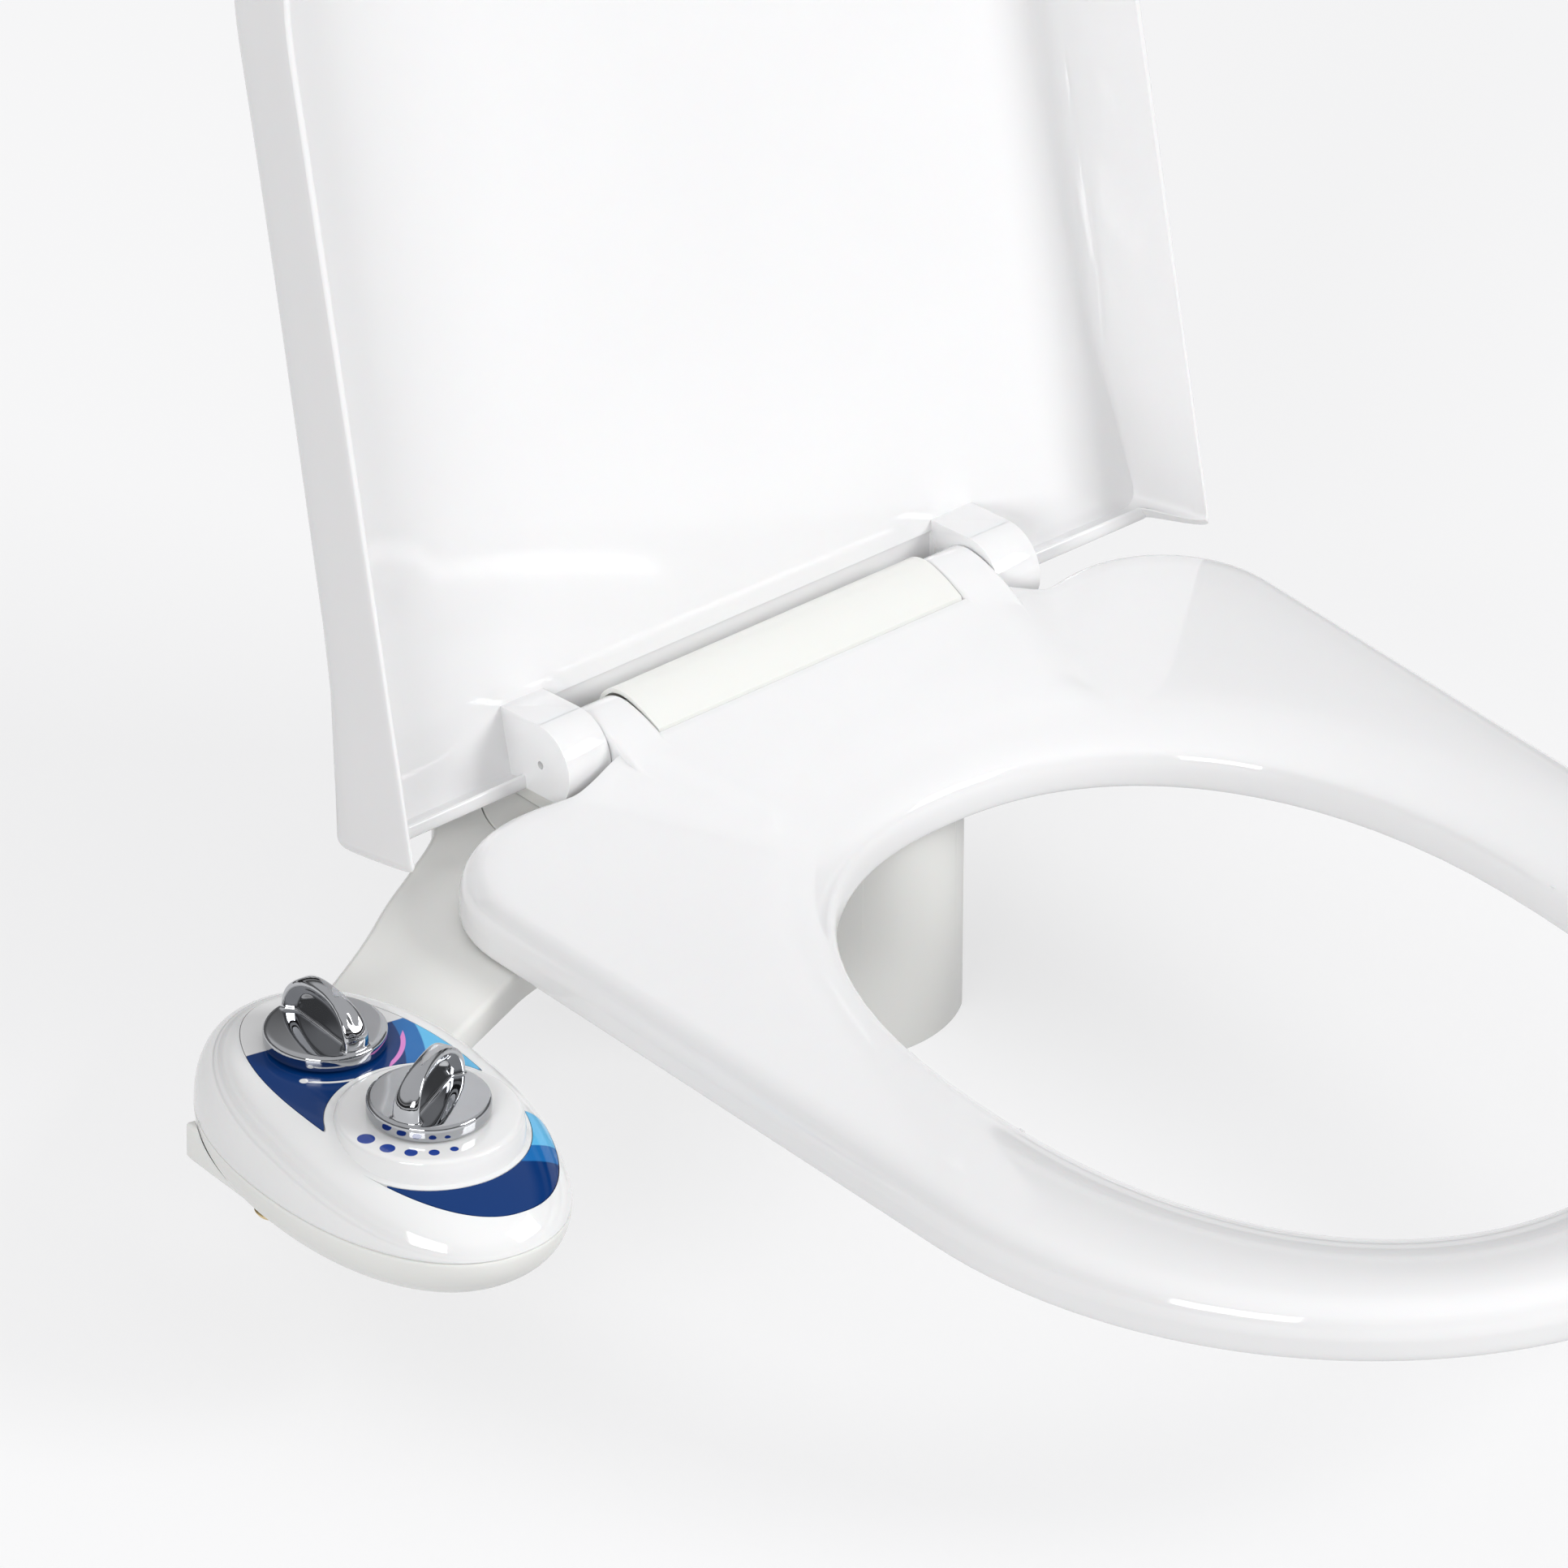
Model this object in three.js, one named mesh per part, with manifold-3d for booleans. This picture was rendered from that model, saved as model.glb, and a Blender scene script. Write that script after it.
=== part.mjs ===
// Toilet seat with a raised lid and a cold-water bidet attachment under its hinge.
//
// Frame: millimetres, +Z up, -Y to the front of the seat, +X to the user's left.
// The origin is midway between the two seat bolts, on the underside of the bidet's
// base plate, which lies on the ceramic rim of the bowl.
import * as THREE from 'three';
import { mergeVertices } from 'three/addons/utils/BufferGeometryUtils.js';
import Module from 'manifold-3d';

const wasm = await Module();
wasm.setup();

// ---------------------------------------------------------------- driving sizes
const SEAT_FIT = 0.3;          // gap between pieces that rest on each other
const RUN_FIT = 0.3;           // radial gap of a turning or sliding piece
const LARGE = 24;              // sides of a round form, by its size
const MEDIUM = 12;
const SMALL = 8;

const BOLT_SPACING = 140;
const HINGE_HEIGHT = 38;       // hinge axis above the rim

const seat = {
  halfWidth: 180,
  rear: 10,                    // rear edge beside the hinge, in front of the hinge axis
  notchFront: 20.2,            // the same between the two ends of the hinge
  notchHalf: 118,
  front: 476,                  // front end, in front of the hinge axis
  cornerRadius: 47,
  noseLength: 186,             // length of the round front
  crown: -2.5,                 // top of the ring from the hinge axis
  underside: -24,              // lower edge of the walls from the hinge axis
  edgeRadius: 12,
  wall: 3.2,
  dish: 32,                    // width of the slope into the opening
  dishDrop: 6,
  tilt: 1.3,                   // degrees nose down, resting on its front bumpers
  rearRise: 9,                 // swell of the top up to the hinge cover
  rearEdge: 2.5,               // rounding of the edge under the hinge cover
};
const opening = {
  halfWidth: 121,
  rear: 92,
  front: 420,
  fullness: 2.25,
};
const lid = {
  overhang: 6,                 // past the seat at the sides and the front
  rear: -12,                   // rear edge, behind the hinge axis
  cornerRadius: 6,
  rim: -20,                    // lower edge of the skirt from the hinge axis
  top: 23.5,
  wall: 4.2,
  shoulder: 25,                // width of the rounded shoulder
  shoulderDrop: 9,
  dome: 1.3,                   // rise of the panel from its edge to its middle
  draft: 4,
  rearLip: 9.8,                // lower edge of the rear wall outside the knuckles
  rearStep: 15.5,              // the same between the knuckles
  openAngle: 102,
};
const bumper = {
  halfX: 10, halfY: 17, bossRadius: 9, sideInset: 42, rearOffset: 38, noseInset: 77, lidRadius: 6.5,
};
const hinge = {
  pinRadius: 5,
  coverHalfLength: 70.4,
  seatKnuckleOuter: 89.7,
  lidKnuckleOuter: 109.5,
  sideGap: 0.6,
  seatKnuckleRadius: 13,
  lidKnuckleRadius: 15.6,
  bodyRadius: 9.6,
  coverWall: 2.2,
  coverLow: -4,                // rear edge of the cover from the hinge axis
  coverRear: 15.2,
  coverCrown: 13,
  coverFront: -17.6,
  coverLip: 7,                 // front edge of the cover from the hinge axis
  footTop: 17,
  footHalfLength: 100,
  footFront: 15,
  footRear: 34,
};
const plate = {
  height: 11.5,
  wall: 2.5,
  roof: 2.4,
  edgeRadius: 2.4,
  cover: 1.8,
  lobeX: 74,
  lobeRadius: 53,
  webFront: 46,
  webRear: 46,
  tongueHalf: 30,
  tongueFront: 64,
  landHalf: 18,                // the land between the bolts that bears on the rim
  landFront: 2,
  landRear: 34,
  landRelief: 0.4,
};
const arm = {                  // edges of the arm, from the lobe out to the panel
  rootX: -127, rootY: 37,
  bendX: -140, bendY: 23,
  elbowX: -160, elbowY: 10.5,
  foreX: -182, foreY: -2,
  wristX: -208, wristY: -18.5,
  endInset: 20, endRear: -42, endFront: -98,
  channelX: -140, blendX: -165, frontBendY: -70.5,
};
const disc = { radius: 48, hubRadius: 40, flange: 4, gap: 0.6, slotWidth: 9.4, slotLength: 34 };
const bolt = { radius: 4, headRadius: 9, headHeight: 3.4, length: 82, rimThickness: 22 };
const panel = {
  x: -271.5,
  y: -108,
  turn: -4,                    // degrees, front end flared outwards
  halfLength: 83,
  halfWidth: 50,
  parting: -2,
  top: 24,
  sideInset: 18,               // from the parting line in to the flat top
  frontInset: 52,
  depth: 24,                   // of the lower shell
  wall: 2.4,
};
const knob = { radius: 21.6, thick: 6, rearY: 33, frontY: -27.5, finHeight: 16.5, finHalf: 4.8 };
const dais = { radius: 32.5, top: 26.4, flare: 2 };
const spindle = { radius: 3.4, bottom: 4 };
const valve = { radius: 13.5, bottom: -14 };
const nozzle = { radius: 6, x: 11, tilt: 28, length: 58, mouthY: -42, mouthZ: -46 };
const housing = { halfWidth: 27, front: 54, rear: 13, bottom: -46, flange: 3.6,
  cheekInner: 26, cheekOuter: 29.5, cheekFront: -62.4 };
const guard = { halfWidth: 31, front: 76, side: 65, bottom: -85, top: -6.5, wall: 2.2,
  pivotY: -59.5, pivotZ: -7, pinRadius: 1.8, lugRadius: 3.6,
  lugX: 20, lugHalf: 2 };
const tubeWay = { rear: -58, front: -74, low: 2, high: 8.6 };

const rad = THREE.MathUtils.degToRad;

// ---------------------------------------------------------------- solid helpers
function solid(geometry) {
  const bare = geometry.index ? geometry.toNonIndexed() : geometry.clone();
  bare.deleteAttribute('normal');
  bare.deleteAttribute('uv');
  const merged = mergeVertices(bare, 1e-4);
  return new wasm.Manifold(new wasm.Mesh({
    numProp: 3,
    vertProperties: new Float32Array(merged.attributes.position.array),
    triVerts: new Uint32Array(merged.index.array),
  }));
}

const join = (first, ...others) => others.reduce((a, b) => a.add(b), first);
const cut = (first, ...others) => others.reduce((a, b) => a.subtract(b), first);

function geometryOf(body) {
  const { vertProperties, triVerts } = body.getMesh();
  const geometry = new THREE.BufferGeometry();
  geometry.setAttribute('position', new THREE.BufferAttribute(vertProperties, 3));
  geometry.setIndex(new THREE.BufferAttribute(triVerts, 1));
  return geometry;
}

function signedVolume(positions, index) {
  const corner = (i) => new THREE.Vector3().fromArray(positions, 3 * i);
  let total = 0;
  for (let i = 0; i < index.length; i += 3) {
    total += corner(index[i]).dot(corner(index[i + 1]).cross(corner(index[i + 2])));
  }
  return total;
}

// Skins a stack of matching loops: capped at both ends, or closed into a ring.
function loft(loops, ring = false) {
  const count = loops[0].length;
  const positions = loops.flat().flatMap((p) => [p.x, p.y, p.z]);
  const index = [];
  const bands = ring ? loops.length : loops.length - 1;
  for (let band = 0; band < bands; band++) {
    const low = band * count;
    const high = ((band + 1) % loops.length) * count;
    for (let i = 0; i < count; i++) {
      const next = (i + 1) % count;
      index.push(low + i, low + next, high + next, low + i, high + next, high + i);
    }
  }
  if (!ring) {
    const last = (loops.length - 1) * count;
    for (const [a, b, c] of THREE.ShapeUtils.triangulateShape(loops[0], [])) index.push(c, b, a);
    for (const [a, b, c] of THREE.ShapeUtils.triangulateShape(loops.at(-1), [])) {
      index.push(last + a, last + b, last + c);
    }
  }
  if (signedVolume(positions, index) < 0) index.reverse();
  const geometry = new THREE.BufferGeometry();
  geometry.setAttribute('position', new THREE.Float32BufferAttribute(positions, 3));
  geometry.setIndex(index);
  return geometry;
}

const atHeight = (points, z) => points.map((p) => new THREE.Vector3(p.x, p.y, z));

// Moves each side of a counter-clockwise outline inwards by the same distance.
function insetLoop(points, distance) {
  const count = points.length;
  return points.map((p, i) => {
    const before = points[(i + count - 1) % count];
    const after = points[(i + 1) % count];
    const a = new THREE.Vector2().subVectors(p, before).normalize();
    const b = new THREE.Vector2().subVectors(after, p).normalize();
    const bisector = new THREE.Vector2(-(a.y + b.y), a.x + b.x).normalize();
    const stretch = Math.max(0.5, -bisector.x * a.y + bisector.y * a.x);
    return new THREE.Vector2(p.x, p.y).addScaledVector(bisector, distance / stretch);
  });
}

// A plate of the given outline whose upper edge is rounded.
function roundedPlate(points, z0, z1, radius, steps = 2) {
  const loops = [atHeight(points, z0)];
  for (let i = 0; i <= steps; i++) {
    const angle = (i / steps) * Math.PI / 2;
    const inward = radius * (1 - Math.cos(angle));
    loops.push(atHeight(insetLoop(points, inward), z1 - radius * (1 - Math.sin(angle))));
  }
  return loft(loops);
}

function oval(halfX, halfY, power, count, cx = 0, cy = 0) {
  const swell = (value) => Math.sign(value) * Math.abs(value) ** (2 / power);
  return Array.from({ length: count }, (_, i) => {
    const angle = (i / count) * 2 * Math.PI;
    return new THREE.Vector2(cx + halfX * swell(Math.cos(angle)), cy + halfY * swell(Math.sin(angle)));
  });
}

const prism = (points, z0, z1) => loft([atHeight(points, z0), atHeight(points, z1)]);

function rod(radius, z0, z1, { count = MEDIUM, x = 0, y = 0, tip = radius } = {}) {
  const geometry = new THREE.CylinderGeometry(tip, radius, z1 - z0, count);
  return geometry.rotateX(Math.PI / 2).translate(x, y, (z0 + z1) / 2);
}

function rodAlongX(radius, x0, x1, y, z, count = MEDIUM) {
  const geometry = new THREE.CylinderGeometry(radius, radius, Math.abs(x1 - x0), count);
  return geometry.rotateZ(Math.PI / 2).translate((x0 + x1) / 2, y, z);
}

function block(x0, x1, y0, y1, z0, z1) {
  const geometry = new THREE.BoxGeometry(x1 - x0, y1 - y0, z1 - z0);
  return geometry.translate((x0 + x1) / 2, (y0 + y1) / 2, (z0 + z1) / 2);
}

// Extrudes a profile drawn in (Y, Z) along X.
function alongX(shape, x0, x1, curveSegments = 6) {
  const geometry = new THREE.ExtrudeGeometry(shape, { depth: x1 - x0, bevelEnabled: false, curveSegments });
  const turn = new THREE.Matrix4().makeBasis(
    new THREE.Vector3(0, 1, 0), new THREE.Vector3(0, 0, 1), new THREE.Vector3(1, 0, 0));
  return geometry.applyMatrix4(turn).translate(x0, 0, 0);
}

const revolve = (profile, count = MEDIUM) => {
  const points = profile.map(([r, z]) => new THREE.Vector2(r, z));
  return new THREE.LatheGeometry(points, count).rotateX(Math.PI / 2);
};

function counterClockwise(points) {
  return THREE.ShapeUtils.isClockWise(points) ? points.reverse() : points;
}

// ---------------------------------------------------------------- materials
const plastic = (color, roughness) => new THREE.MeshStandardMaterial({ color, roughness, metalness: 0 });
const glossWhite = plastic(0xf6f6f7, 0.12);
const ivory = plastic(0xf1f1ea, 0.3);
const offWhite = plastic(0xe4e4de, 0.35);
const rubber = plastic(0xdadad6, 0.8);
const labelPrint = plastic(0x1d4f9e, 0.15);
const chrome = new THREE.MeshStandardMaterial({ color: 0xc9ccd0, roughness: 0.06, metalness: 1 });
const steel = new THREE.MeshStandardMaterial({ color: 0xb4b7ba, roughness: 0.3, metalness: 1 });
const brass = new THREE.MeshStandardMaterial({ color: 0xb08d4a, roughness: 0.3, metalness: 1 });

const object = new THREE.Group();

function add(parent, name, body, material) {
  const geometry = body.isBufferGeometry ? body : geometryOf(body);
  const mesh = new THREE.Mesh(geometry, material);
  mesh.name = name;
  parent.add(mesh);
  return mesh;
}

const sides = [['left', 1], ['right', -1]];   // of a seated user: left is +X

// ---------------------------------------------------------------- seat
// An outline with straight sides, round rear corners and an elliptic nose.
// The middle of its rear edge may be set back.
function ringOutline(size, { rearSteps, cornerSteps, sideSteps, noseSteps }) {
  const { halfWidth, rear, front, corner, nose, notchHalf, notchFront } = size;
  const half = [];
  for (let i = 0; i < rearSteps; i++) {
    half.push(new THREE.Vector2(-notchHalf * i / (rearSteps - 1), -notchFront));
  }
  for (let i = 0; i <= cornerSteps; i++) {
    const a = Math.PI / 2 * (1 + i / cornerSteps);
    half.push(new THREE.Vector2(
      -(halfWidth - corner) + corner * Math.cos(a), -(rear + corner) + corner * Math.sin(a)));
  }
  const straightEnd = front - nose;
  const straightStart = rear + corner;
  for (let i = 1; i < sideSteps; i++) {
    half.push(new THREE.Vector2(
      -halfWidth, -THREE.MathUtils.lerp(straightStart, straightEnd, i / sideSteps)));
  }
  for (let i = 0; i <= noseSteps; i++) {
    const a = Math.PI / 2 * i / noseSteps;
    half.push(new THREE.Vector2(-halfWidth * Math.cos(a), -straightEnd - nose * Math.sin(a)));
  }
  const mirrored = half.slice(1, -1).reverse().map((p) => new THREE.Vector2(-p.x, p.y));
  return counterClockwise([...half, ...mirrored]);
}

const seatMiddle = new THREE.Vector2(0, -(opening.rear + opening.front) / 2);

// Distance from the middle of the opening to its edge, towards a point of the outline.
function openingReach(direction) {
  const halfLength = (opening.front - opening.rear) / 2;
  const sum = Math.abs(direction.x / opening.halfWidth) ** opening.fullness
    + Math.abs(direction.y / halfLength) ** opening.fullness;
  return sum ** (-1 / opening.fullness);
}

function seatSection(outer) {
  const ray = new THREE.Vector2().subVectors(outer, seatMiddle);
  const reach = ray.length();
  ray.divideScalar(reach);
  const inner = openingReach(ray);
  const { notchHalf, notchFront, wall, underside, dish, dishDrop } = seat;
  const inNotch = outer.y > -notchFront - 1 && Math.abs(outer.x) < notchHalf + 1;
  const rise = inNotch ? seat.rearRise * (1 - THREE.MathUtils.smoothstep(
    Math.abs(outer.x), hinge.coverHalfLength - 6, hinge.seatKnuckleOuter + 10)) : 0;
  const crown = seat.crown + rise;
  const foot = seat.crown + rise * 0.3;
  const edgeRadius = inNotch ? seat.rearEdge : seat.edgeRadius;
  const inside = Math.max(edgeRadius, wall);
  const fromOuter = (d, z) => [reach - d, z];
  const fromInner = (d, z) => [inner + d, z];
  const edge = [];
  for (let i = 0; i <= 3; i++) {
    const a = (i / 3) * Math.PI / 2;
    edge.push(fromOuter(edgeRadius * (1 - Math.cos(a)), crown - edgeRadius * (1 - Math.sin(a))));
  }
  const profile = [
    fromOuter(1.2, underside), fromOuter(0, underside + 1.5), ...edge,
    fromInner(dish, foot), fromInner(dish * 0.62, seat.crown - dishDrop * 0.2),
    fromInner(dish * 0.3, seat.crown - dishDrop * 0.62), fromInner(4, seat.crown - dishDrop),
    fromInner(1.2, seat.crown - dishDrop - 2.6), fromInner(0, seat.crown - dishDrop - 7),
    fromInner(0, underside + 1.5), fromInner(1.2, underside),
    fromInner(wall, underside), fromInner(wall + 1, seat.crown - dishDrop - wall - 3),
    fromInner(dish, foot - wall - 1), fromOuter(inside + 2, crown - wall - 1),
    fromOuter(wall + 1, crown - Math.max(edgeRadius, wall + 3)), fromOuter(wall, underside),
  ];
  return profile.map(([distance, z]) => new THREE.Vector3(
    seatMiddle.x + ray.x * distance, seatMiddle.y + ray.y * distance, z));
}

const rearBumper = { x: seat.halfWidth - bumper.sideInset, front: opening.rear + bumper.rearOffset };
const frontBumper = { x: seat.halfWidth - bumper.noseInset, front: seat.front - bumper.noseInset };
const bumperSpots = [
  ['rear_left', rearBumper.x, rearBumper.front], ['rear_right', -rearBumper.x, rearBumper.front],
  ['front_left', frontBumper.x, frontBumper.front], ['front_right', -frontBumper.x, frontBumper.front],
];
const ribFronts = [200, 270, 340];

// Half the width of the ring at a place along its side or nose.
function sideReach(front) {
  const along = Math.max(0, front - (seat.front - seat.noseLength)) / seat.noseLength;
  return seat.halfWidth * Math.sqrt(1 - along ** 2);
}

function seatArm(side) {
  const inner = hinge.coverHalfLength + hinge.sideGap;
  const [x0, x1] = side > 0 ? [inner, hinge.seatKnuckleOuter] : [-hinge.seatKnuckleOuter, -inner];
  const r = hinge.seatKnuckleRadius;
  const profile = new THREE.Shape();
  profile.moveTo(-1.5, r);
  profile.quadraticCurveTo(-18, r - 3, -38, seat.crown + 1);
  profile.lineTo(-38, seat.underside + 6);
  profile.lineTo(-seat.notchFront - 2, seat.underside + 4);
  profile.lineTo(-4, -r + 0.5);
  profile.absarc(0, 0, r, -Math.PI / 2, Math.PI / 2, false);
  return solid(alongX(profile, x0, x1));
}

function makeSeat() {
  const outline = ringOutline({
    halfWidth: seat.halfWidth, rear: seat.rear, front: seat.front,
    corner: seat.cornerRadius, nose: seat.noseLength,
    notchHalf: seat.notchHalf, notchFront: seat.notchFront,
  }, { rearSteps: 5, cornerSteps: 3, sideSteps: 3, noseSteps: 8 });
  let body = solid(loft(outline.map(seatSection), true));
  const roof = seat.crown - seat.wall;
  const ribs = [];
  for (const [, x, front] of bumperSpots) {
    ribs.push(solid(rod(bumper.bossRadius, seat.underside, roof, { x, y: -front, count: SMALL })));
  }
  for (const front of ribFronts) {
    const outer = sideReach(front) - seat.wall / 2;
    const inner = openingReach(new THREE.Vector2(1, 0)) + seat.wall / 2;
    for (const [x0, x1] of [[inner, outer], [-outer, -inner]]) {
      ribs.push(solid(block(x0, x1, -front - 1.2, -front + 1.2, seat.underside + 5, roof - 4)));
    }
  }
  body = join(body, ...ribs, seatArm(1), seatArm(-1));
  const bore = rodAlongX(hinge.pinRadius + RUN_FIT, -hinge.lidKnuckleOuter, hinge.lidKnuckleOuter, 0, 0);
  return cut(body, solid(bore));
}

function makeSeatBumper(front) {
  const drop = HINGE_HEIGHT + seat.underside - front * Math.sin(rad(seat.tilt));
  const height = drop - 0.5;
  const outline = oval(bumper.halfX, bumper.halfY, 2.6, MEDIUM);
  const top = seat.underside - SEAT_FIT;
  const pad = roundedPlate(outline, -top, -top + height - SEAT_FIT, 2);
  return pad.rotateX(Math.PI);
}

const seatGroup = new THREE.Group();
seatGroup.position.z = HINGE_HEIGHT;
seatGroup.rotation.x = rad(seat.tilt);
object.add(seatGroup);
add(seatGroup, 'seat_ring', makeSeat(), glossWhite);
for (const [name, x, front] of bumperSpots) {
  const pad = add(seatGroup, `seat_bumper_${name}`, makeSeatBumper(front), rubber);
  pad.position.set(x, -front, 0);
}

// ---------------------------------------------------------------- lid
// The shoulder is tight along the rear wall and broad along the sides and the front.
function lidLoop(outline, inward, z) {
  return outline.map((p) => {
    const ray = new THREE.Vector2().subVectors(seatMiddle, p);
    const broad = THREE.MathUtils.smoothstep(-p.y, lid.rear, 60);
    const depth = inward > lid.wall && inward <= lid.shoulder + 3
      ? lid.wall + (inward - lid.wall) * THREE.MathUtils.lerp(0.06, 1, broad) : inward;
    ray.multiplyScalar(depth / ray.length());
    return new THREE.Vector3(p.x + ray.x, p.y + ray.y, z);
  });
}

function lidBlock(side) {
  const inner = hinge.seatKnuckleOuter + hinge.sideGap;
  const [x0, x1] = side > 0 ? [inner, hinge.lidKnuckleOuter] : [-hinge.lidKnuckleOuter, -inner];
  const r = hinge.lidKnuckleRadius;
  const panelFace = lid.top - lid.wall + 1;
  const profile = new THREE.Shape();
  profile.moveTo(-r - 3, panelFace);
  profile.lineTo(-r, -2);
  profile.absarc(0, 0, r, Math.PI, 2 * Math.PI - 0.5, false);
  profile.lineTo(-lid.rear - 1, lid.rearLip);
  profile.lineTo(-lid.rear - 1, panelFace);
  return solid(alongX(profile, x0, x1));
}

function makeLid() {
  const outline = ringOutline({
    halfWidth: seat.halfWidth + lid.overhang, rear: lid.rear, front: seat.front + lid.overhang,
    corner: lid.cornerRadius, nose: seat.noseLength + lid.overhang,
    notchHalf: seat.halfWidth / 2, notchFront: lid.rear,
  }, { rearSteps: 2, cornerSteps: 3, sideSteps: 3, noseSteps: 9 });
  const { rim, top, wall, shoulder, shoulderDrop, draft } = lid;
  const waist = top - shoulderDrop;
  const loops = [
    lidLoop(outline, shoulder + 60, top - wall),
    lidLoop(outline, shoulder + 3, top - wall - lid.dome),
    lidLoop(outline, draft + wall + 3, waist - wall + 0.5),
    lidLoop(outline, draft / 2 + wall, (rim + waist) / 2),
    lidLoop(outline, wall - 1, rim),
    lidLoop(outline, 0.8, rim),
    lidLoop(outline, 0, rim + 1),
    lidLoop(outline, draft / 2, (rim + waist) / 2),
    lidLoop(outline, draft, waist - 2),
    lidLoop(outline, draft + 3.5, waist + 3),
    lidLoop(outline, shoulder * 0.5, waist + shoulderDrop * 0.62),
    lidLoop(outline, shoulder, top - 1),
    lidLoop(outline, shoulder + 60, top + 0.6),
  ];
  let body = solid(loft(loops));
  const reach = -lid.rear + 1;
  const sideInner = seat.halfWidth + lid.overhang - wall - draft;
  const knuckle = hinge.lidKnuckleOuter;
  body = cut(body,
    solid(block(-sideInner, sideInner, -4, reach, rim - 1, lid.rearLip)),
    solid(block(-knuckle + 1, knuckle - 1, -lid.rear - 6, reach, rim - 1, lid.rearStep)));
  body = join(body, lidBlock(1), lidBlock(-1));
  const pinReach = hinge.lidKnuckleOuter - 4;
  const bore = solid(rodAlongX(hinge.pinRadius + RUN_FIT, -pinReach, pinReach, 0, 0));
  const eye = solid(rodAlongX(1.5, -knuckle - 1, knuckle + 1, 0, 0, 12));
  return cut(body, bore, eye);
}

function makeLidBumper() {
  const top = lid.top - lid.wall - lid.dome - SEAT_FIT;
  const bottom = seat.crown + 0.8;
  return revolve([
    [0, bottom], [bumper.lidRadius - 2, bottom], [bumper.lidRadius - 0.6, bottom + 0.6],
    [bumper.lidRadius, bottom + 2], [bumper.lidRadius, top - 3], [bumper.lidRadius + 2, top], [0, top],
  ], MEDIUM);
}

const lidGroup = new THREE.Group();
lidGroup.position.z = HINGE_HEIGHT;
lidGroup.rotation.x = -rad(lid.openAngle);
object.add(lidGroup);
add(lidGroup, 'lid', makeLid(), glossWhite);
for (const [name, side] of sides) {
  const pad = add(lidGroup, `lid_bumper_${name}`, makeLidBumper(), rubber);
  pad.position.set(side * frontBumper.x, -frontBumper.front, 0);
}

// ---------------------------------------------------------------- hinge
const coverSpline = (inset) => {
  const { coverRear, coverLow, coverCrown, coverFront, coverLip } = hinge;
  const curve = new THREE.SplineCurve([
    new THREE.Vector2(coverRear, coverLow), new THREE.Vector2(0.93 * coverRear, 0.38 * coverCrown),
    new THREE.Vector2(0.59 * coverRear, 0.85 * coverCrown), new THREE.Vector2(1, coverCrown),
    new THREE.Vector2(0.48 * coverFront, 0.83 * coverCrown), new THREE.Vector2(coverFront, coverLip),
  ]);
  return curve.getPoints(16).map((p, i) => {
    const tangent = curve.getTangent(i / 16);
    return new THREE.Vector2(p.x + tangent.y * -inset, p.y + tangent.x * inset);
  });
};

function makeHingeCover() {
  const outer = coverSpline(0);
  const inner = coverSpline(hinge.coverWall).reverse();
  const profile = new THREE.Shape([...outer, ...inner]);
  return alongX(profile, -hinge.coverHalfLength, hinge.coverHalfLength).translate(0, 0, HINGE_HEIGHT);
}

function makeHingeBase() {
  const { footTop, footHalfLength, footFront, footRear, bodyRadius } = hinge;
  const footBottom = plate.height + SEAT_FIT;
  const foot = new THREE.Shape();
  const corner = 8;
  foot.moveTo(-footHalfLength + corner, -footFront);
  foot.absarc(footHalfLength - corner, -footFront + corner, corner, -Math.PI / 2, 0, false);
  foot.absarc(footHalfLength - corner, footRear - corner, corner, 0, Math.PI / 2, false);
  foot.absarc(-footHalfLength + corner, footRear - corner, corner, Math.PI / 2, Math.PI, false);
  foot.absarc(-footHalfLength + corner, -footFront + corner, corner, Math.PI, Math.PI * 1.5, false);
  const outline = foot.getPoints(3).slice(0, -1);
  const base = solid(roundedPlate(outline, footBottom, footTop, 1.5, 2));
  const halfBody = hinge.coverHalfLength - 3;
  const spine = new THREE.Shape();
  spine.moveTo(bodyRadius, footTop - 1);
  spine.lineTo(bodyRadius, HINGE_HEIGHT);
  spine.absarc(0, HINGE_HEIGHT, bodyRadius, 0, Math.PI, false);
  spine.lineTo(-bodyRadius, footTop - 1);
  const pockets = [-1, 0, 1].map((i) => solid(block(
    i * 32 - 13, i * 32 + 13, -bodyRadius - 1, bodyRadius - 3, footTop + 2, HINGE_HEIGHT - 8)));
  const pinBore = solid(rodAlongX(hinge.pinRadius + 0.3, -halfBody - 1, halfBody + 1, 0, HINGE_HEIGHT));
  const core = solid(rodAlongX(hinge.pinRadius + 1, -44, 44, 0, HINGE_HEIGHT));
  const boltCuts = sides.flatMap(([, side]) => {
    const x = side * BOLT_SPACING / 2;
    return [
      solid(rod(bolt.radius + 0.3, 0, footTop + 1, { x, count: MEDIUM })),
      solid(rod(bolt.headRadius + 0.3, footTop - bolt.headHeight - 0.3, footTop + 1, { x, count: MEDIUM })),
    ];
  });
  const body = cut(solid(alongX(spine, -halfBody, halfBody)), ...pockets, pinBore);
  return cut(join(base, body, core), ...boltCuts);
}

add(object, 'hinge_base', makeHingeBase(), ivory);
add(object, 'hinge_cover', makeHingeCover(), ivory);
for (const [name, side] of sides) {
  const outer = hinge.lidKnuckleOuter - 4.5;
  const pin = rodAlongX(hinge.pinRadius, side * 46, side * outer, 0, HINGE_HEIGHT);
  add(object, `hinge_pin_${name}`, pin, steel);
}

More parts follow.
